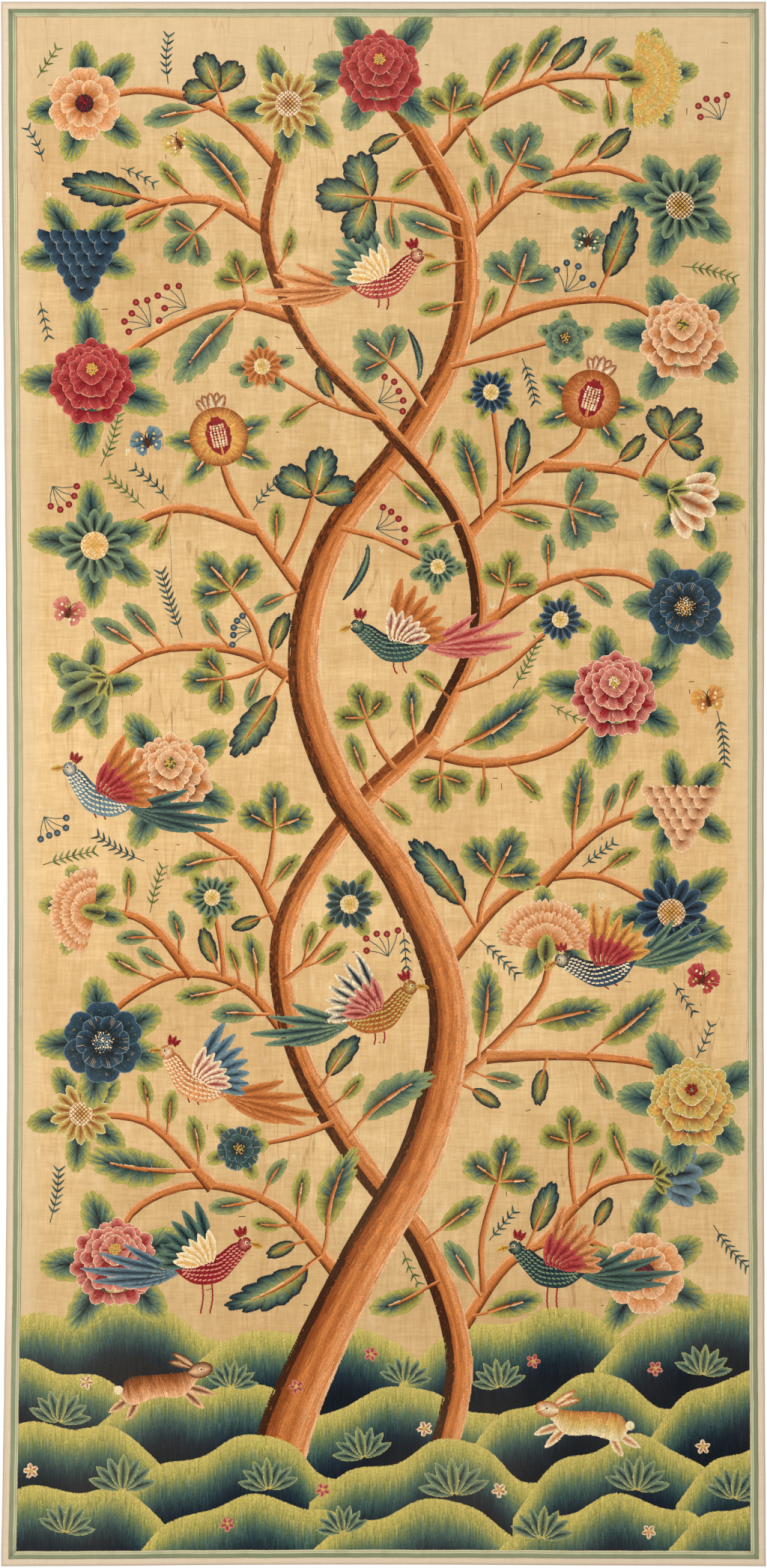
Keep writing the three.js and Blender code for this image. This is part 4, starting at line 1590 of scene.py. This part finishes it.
# %% Tufts and small flowers on the hillocks
TUFTS = [(-480, 212, 48), (-385, 112, 52), (-226, 262, 40), (-30, 158, 46), (104, 104, 54), (170, 262, 42),
         (372, 112, 50), (470, 282, 44), (516, 100, 46), (-170, 112, 46), (-468, 50, 44), (232, 40, 48),
         (30, 268, 40), (-60, 48, 40)]
DAISIES = [(-440, 270, 11), (-130, 262, 11), (60, 200, 12), (220, 300, 11), (400, 290, 12), (-520, 140, 12),
           (-230, 60, 12), (170, 110, 12), (470, 175, 11), (-90, 110, 11), (-20, 310, 11), (390, 50, 11)]
for x, h, size in TUFTS:
    tuft(placed(x, h, dice.uniform(-12, 12)), size)
for x, h, size in DAISIES:
    daisy(placed(x, h, dice.uniform(0, 60)), size)
print("tufts:", len(TUFTS), "small flowers:", len(DAISIES))

# %% [markdown]
# ## Sewing and mending
# The tape is held by small slanting stitches along both edges. The old ground cloth has seams, pale darns and
# dark slits where threads have gone. All of these are more stitches, in thread instead of wool, and only show
# where no motif covers them.

# %% Tape stitches, seams, darns and slits
SEWING_PITCH = 9.0
THREAD = yarns("sage moss bone")
BARE = 0
SLITS = 150
DARNS = 60
Seam = namedtuple("Seam", "x low high dye")
SEAMS = [
    Seam(-316, 1180, 1553, "bone"),
    Seam(475, 2090, 2278, "bone"),
    Seam(-318, 1180, 1553, "slit"),
    Seam(96, 1250, 1420, "bone"),
    Seam(330, 620, 800, "bone"),
]


def tape_stitches(side):
    """Slanting stitches over the outer and inner edges of one tape."""
    for inset, reach in ((TAPE_INSET, -1.0), (TAPE_INSET + TAPE_WIDTH, 1.0)):
        along = steps(-1, 1, SEWING_PITCH / side.half_length) * (side.half_length - inset - 3)
        along = along + dice.uniform(-1.2, 1.2, len(along))
        start = np.stack(side.place(along, 0 * along + inset + reach * 0.5), -1) + (0, HEIGHT)
        end = np.stack(side.place(along + 1.2, 0 * along + inset - reach * 1.3), -1) + (0, HEIGHT)
        colour = THREAD[dice.integers(0, len(THREAD), len(along))]
        needle.sew("tape_sewing", start, end, 0.4, colour, TAPE_FRONT - GROUND_FRONT - 0.5, LOOSE)


def scattered(count):
    """Places spread over the whole field."""
    x = dice.uniform(-FIELD_X + 20, FIELD_X - 20, count)
    h = dice.uniform(380, FIELD_HIGH - 20, count)
    return np.stack([x, h], -1)


def slits(count):
    """Short dark dashes, mostly level, where weft threads have parted, painted as the shade in the gap."""
    middle = scattered(count)
    turn = np.where(dice.random(count) < 0.7, 0.0, np.pi / 2) + dice.normal(0, 0.12, count)
    half = np.stack([np.cos(turn), np.sin(turn)], -1) * dice.uniform(1.5, 5.5, count)[:, None]
    needle.sew("mending", middle - half, middle + half, 2.0, np.tile(yarns("slit"), (count, 1)), -0.3, BARE)


def darns(count):
    """Worn places drawn together with a few upright threads of pale linen."""
    for x, h in scattered(count):
        threads = dice.integers(3, 9)
        foot = np.stack([x + 1.5 * np.arange(threads), h + dice.uniform(-3, 3, threads)], -1)
        tall = np.stack([0 * foot[:, 0], dice.uniform(5, 13, threads)], -1)
        colour = yarns("bone bone cream")[dice.integers(0, 3, threads)]
        needle.sew("mending", foot, foot + tall, 1.7, colour, -0.3, BARE)


def seam(x, low, high, tone):
    """A line of small stitches where two widths of cloth join."""
    h = np.arange(low, high, 4.0)
    start = np.stack([x + 1.5 * np.sin(h / 37), h], -1)
    needle.sew("mending", start, start + (0.5, 3.2), 0.9, np.tile(tone, (len(h), 1)), -0.25, BARE)


for side in SIDES:
    tape_stitches(side)
slits(SLITS)
darns(DARNS)
for row in SEAMS:
    seam(row.x, row.low, row.high, yarns(row.dye)[0])
print("slits:", SLITS, "darns:", DARNS, "seams:", len(SEAMS))

# %% [markdown]
# ## Making the stitched pieces
# The book of stitches is now complete, so the owner map is final and each piece can be cut back and made.

# %% Stitched pieces
stitched = [stitched_piece(name) for name in sorted(needle.rows)]
print("stitches in all:", sum(len(piece.data.polygons) for piece in stitched) // 5)

# %% [markdown]
# ## What each piece is
# Every piece rides on the panel's one body, and each sheet hides the solid that it stands for.

# %% Bodies and sheets
def belongs(piece, slot, *nodes):
    """A piece's body, and the nodes that it stands for, which are hidden. The slot is not used."""
    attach(piece, "root")
    if nodes:
        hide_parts(*nodes)


belongs(linen_backing, "backing_linen", "backing")
belongs(worked_ground, "worked_ground", "ground_cloth")
for side, tape in zip(SIDES, tapes):
    belongs(tape, "woven_tape", side.name)
for piece in stitched:
    belongs(piece, "worked_ground")

print("sheets:", 2 + len(tapes), "pieces of needlework:", len(stitched))

# %% [markdown]
# ## Floor, light and camera
# A pale floor lies below the hanging, and ends behind it, so that only the white background shows beside
# the cloth. The light is even, from a bright world, with a large soft lamp at the upper left, so that the
# wool and the creases cast faint shadows, and a weaker one on the right. The camera looks straight at the
# middle of the panel.

# %% Floor, light and camera
SEEN_HEIGHT = 2.3062
LENS = 85.0
SENSOR = 36.0
FLOOR_BELOW = 0.7
FLOOR_SIZE = 7.0
FLOOR_BEHIND = 3.2


def floor_mesh(half, behind, height):
    """One flat face. It ends behind the panel before it would come into the picture beside the cloth's
    edges."""
    square = [(-half, -half), (half, -half), (half, behind), (-half, behind)]
    corners = np.array([(x, y, height) for x, y in square])
    return make_mesh("floor", corners, np.arange(4), np.array([0]))


floor = floor_mesh(FLOOR_SIZE, FLOOR_BEHIND, -HEIGHT * MM - FLOOR_BELOW)
pale, tree, vector, shader = new_material("pale_floor", 0.8, 0.0)
shade = ramp(tree, noise(tree, vector, 1.5), (0.3, srgb(226, 224, 220)), (0.7, srgb(234, 232, 228)))
set_input(tree, shader.inputs["Base Color"], shade)
floor.data.materials.append(pale)


def lamp(name, place, aim, size, power):
    """A large soft lamp, turned to its aim."""
    light = bpy.data.lights.new(name, "AREA")
    light.size = size
    light.energy = power
    made = bpy.data.objects.new(name, light)
    bpy.context.scene.collection.objects.link(made)
    made.location = place
    towards = np.array(aim) - np.array(place)
    made.rotation_euler = Vector(towards).to_track_quat("-Z", "Y").to_euler()


middle_height = -HEIGHT * MM / 2
lamp("key", (-3.4, -3.4, 0.3), (0, 0, middle_height), 1.8, 120)
lamp("fill", (2.6, -4.6, -0.9), (0, 0, middle_height), 3.0, 35)

world = bpy.data.worlds.new("bright_room")
bpy.context.scene.world = world
world.use_nodes = True
tree = world.node_tree
light = tree.nodes["Background"]
light.inputs["Color"].default_value = (1.0, 0.995, 0.985, 1.0)
light.inputs["Strength"].default_value = 0.68
paper = node(tree, "Background", Color=(1.0, 1.0, 1.0, 1.0), Strength=1.0)
seen = node(tree, "LightPath").outputs["Is Camera Ray"]
both = tree.nodes.new("ShaderNodeMixShader")
for socket, output in zip(both.inputs, (seen, light.outputs[0], paper.outputs[0])):
    tree.links.new(output, socket)
tree.links.new(both.outputs[0], tree.nodes["World Output"].inputs["Surface"])

view = bpy.data.cameras.new("camera")
view.lens = LENS
view.sensor_width = SENSOR
camera = bpy.data.objects.new("camera", view)
bpy.context.scene.collection.objects.link(camera)
away = SEEN_HEIGHT * LENS / SENSOR
camera.location = (0.0, -away, middle_height)
camera.rotation_euler = (np.pi / 2, 0.0, 0.0)
bpy.context.scene.camera = camera
bpy.context.scene.view_settings.view_transform = "Standard"
print("camera distance, m:", round(away, 3))
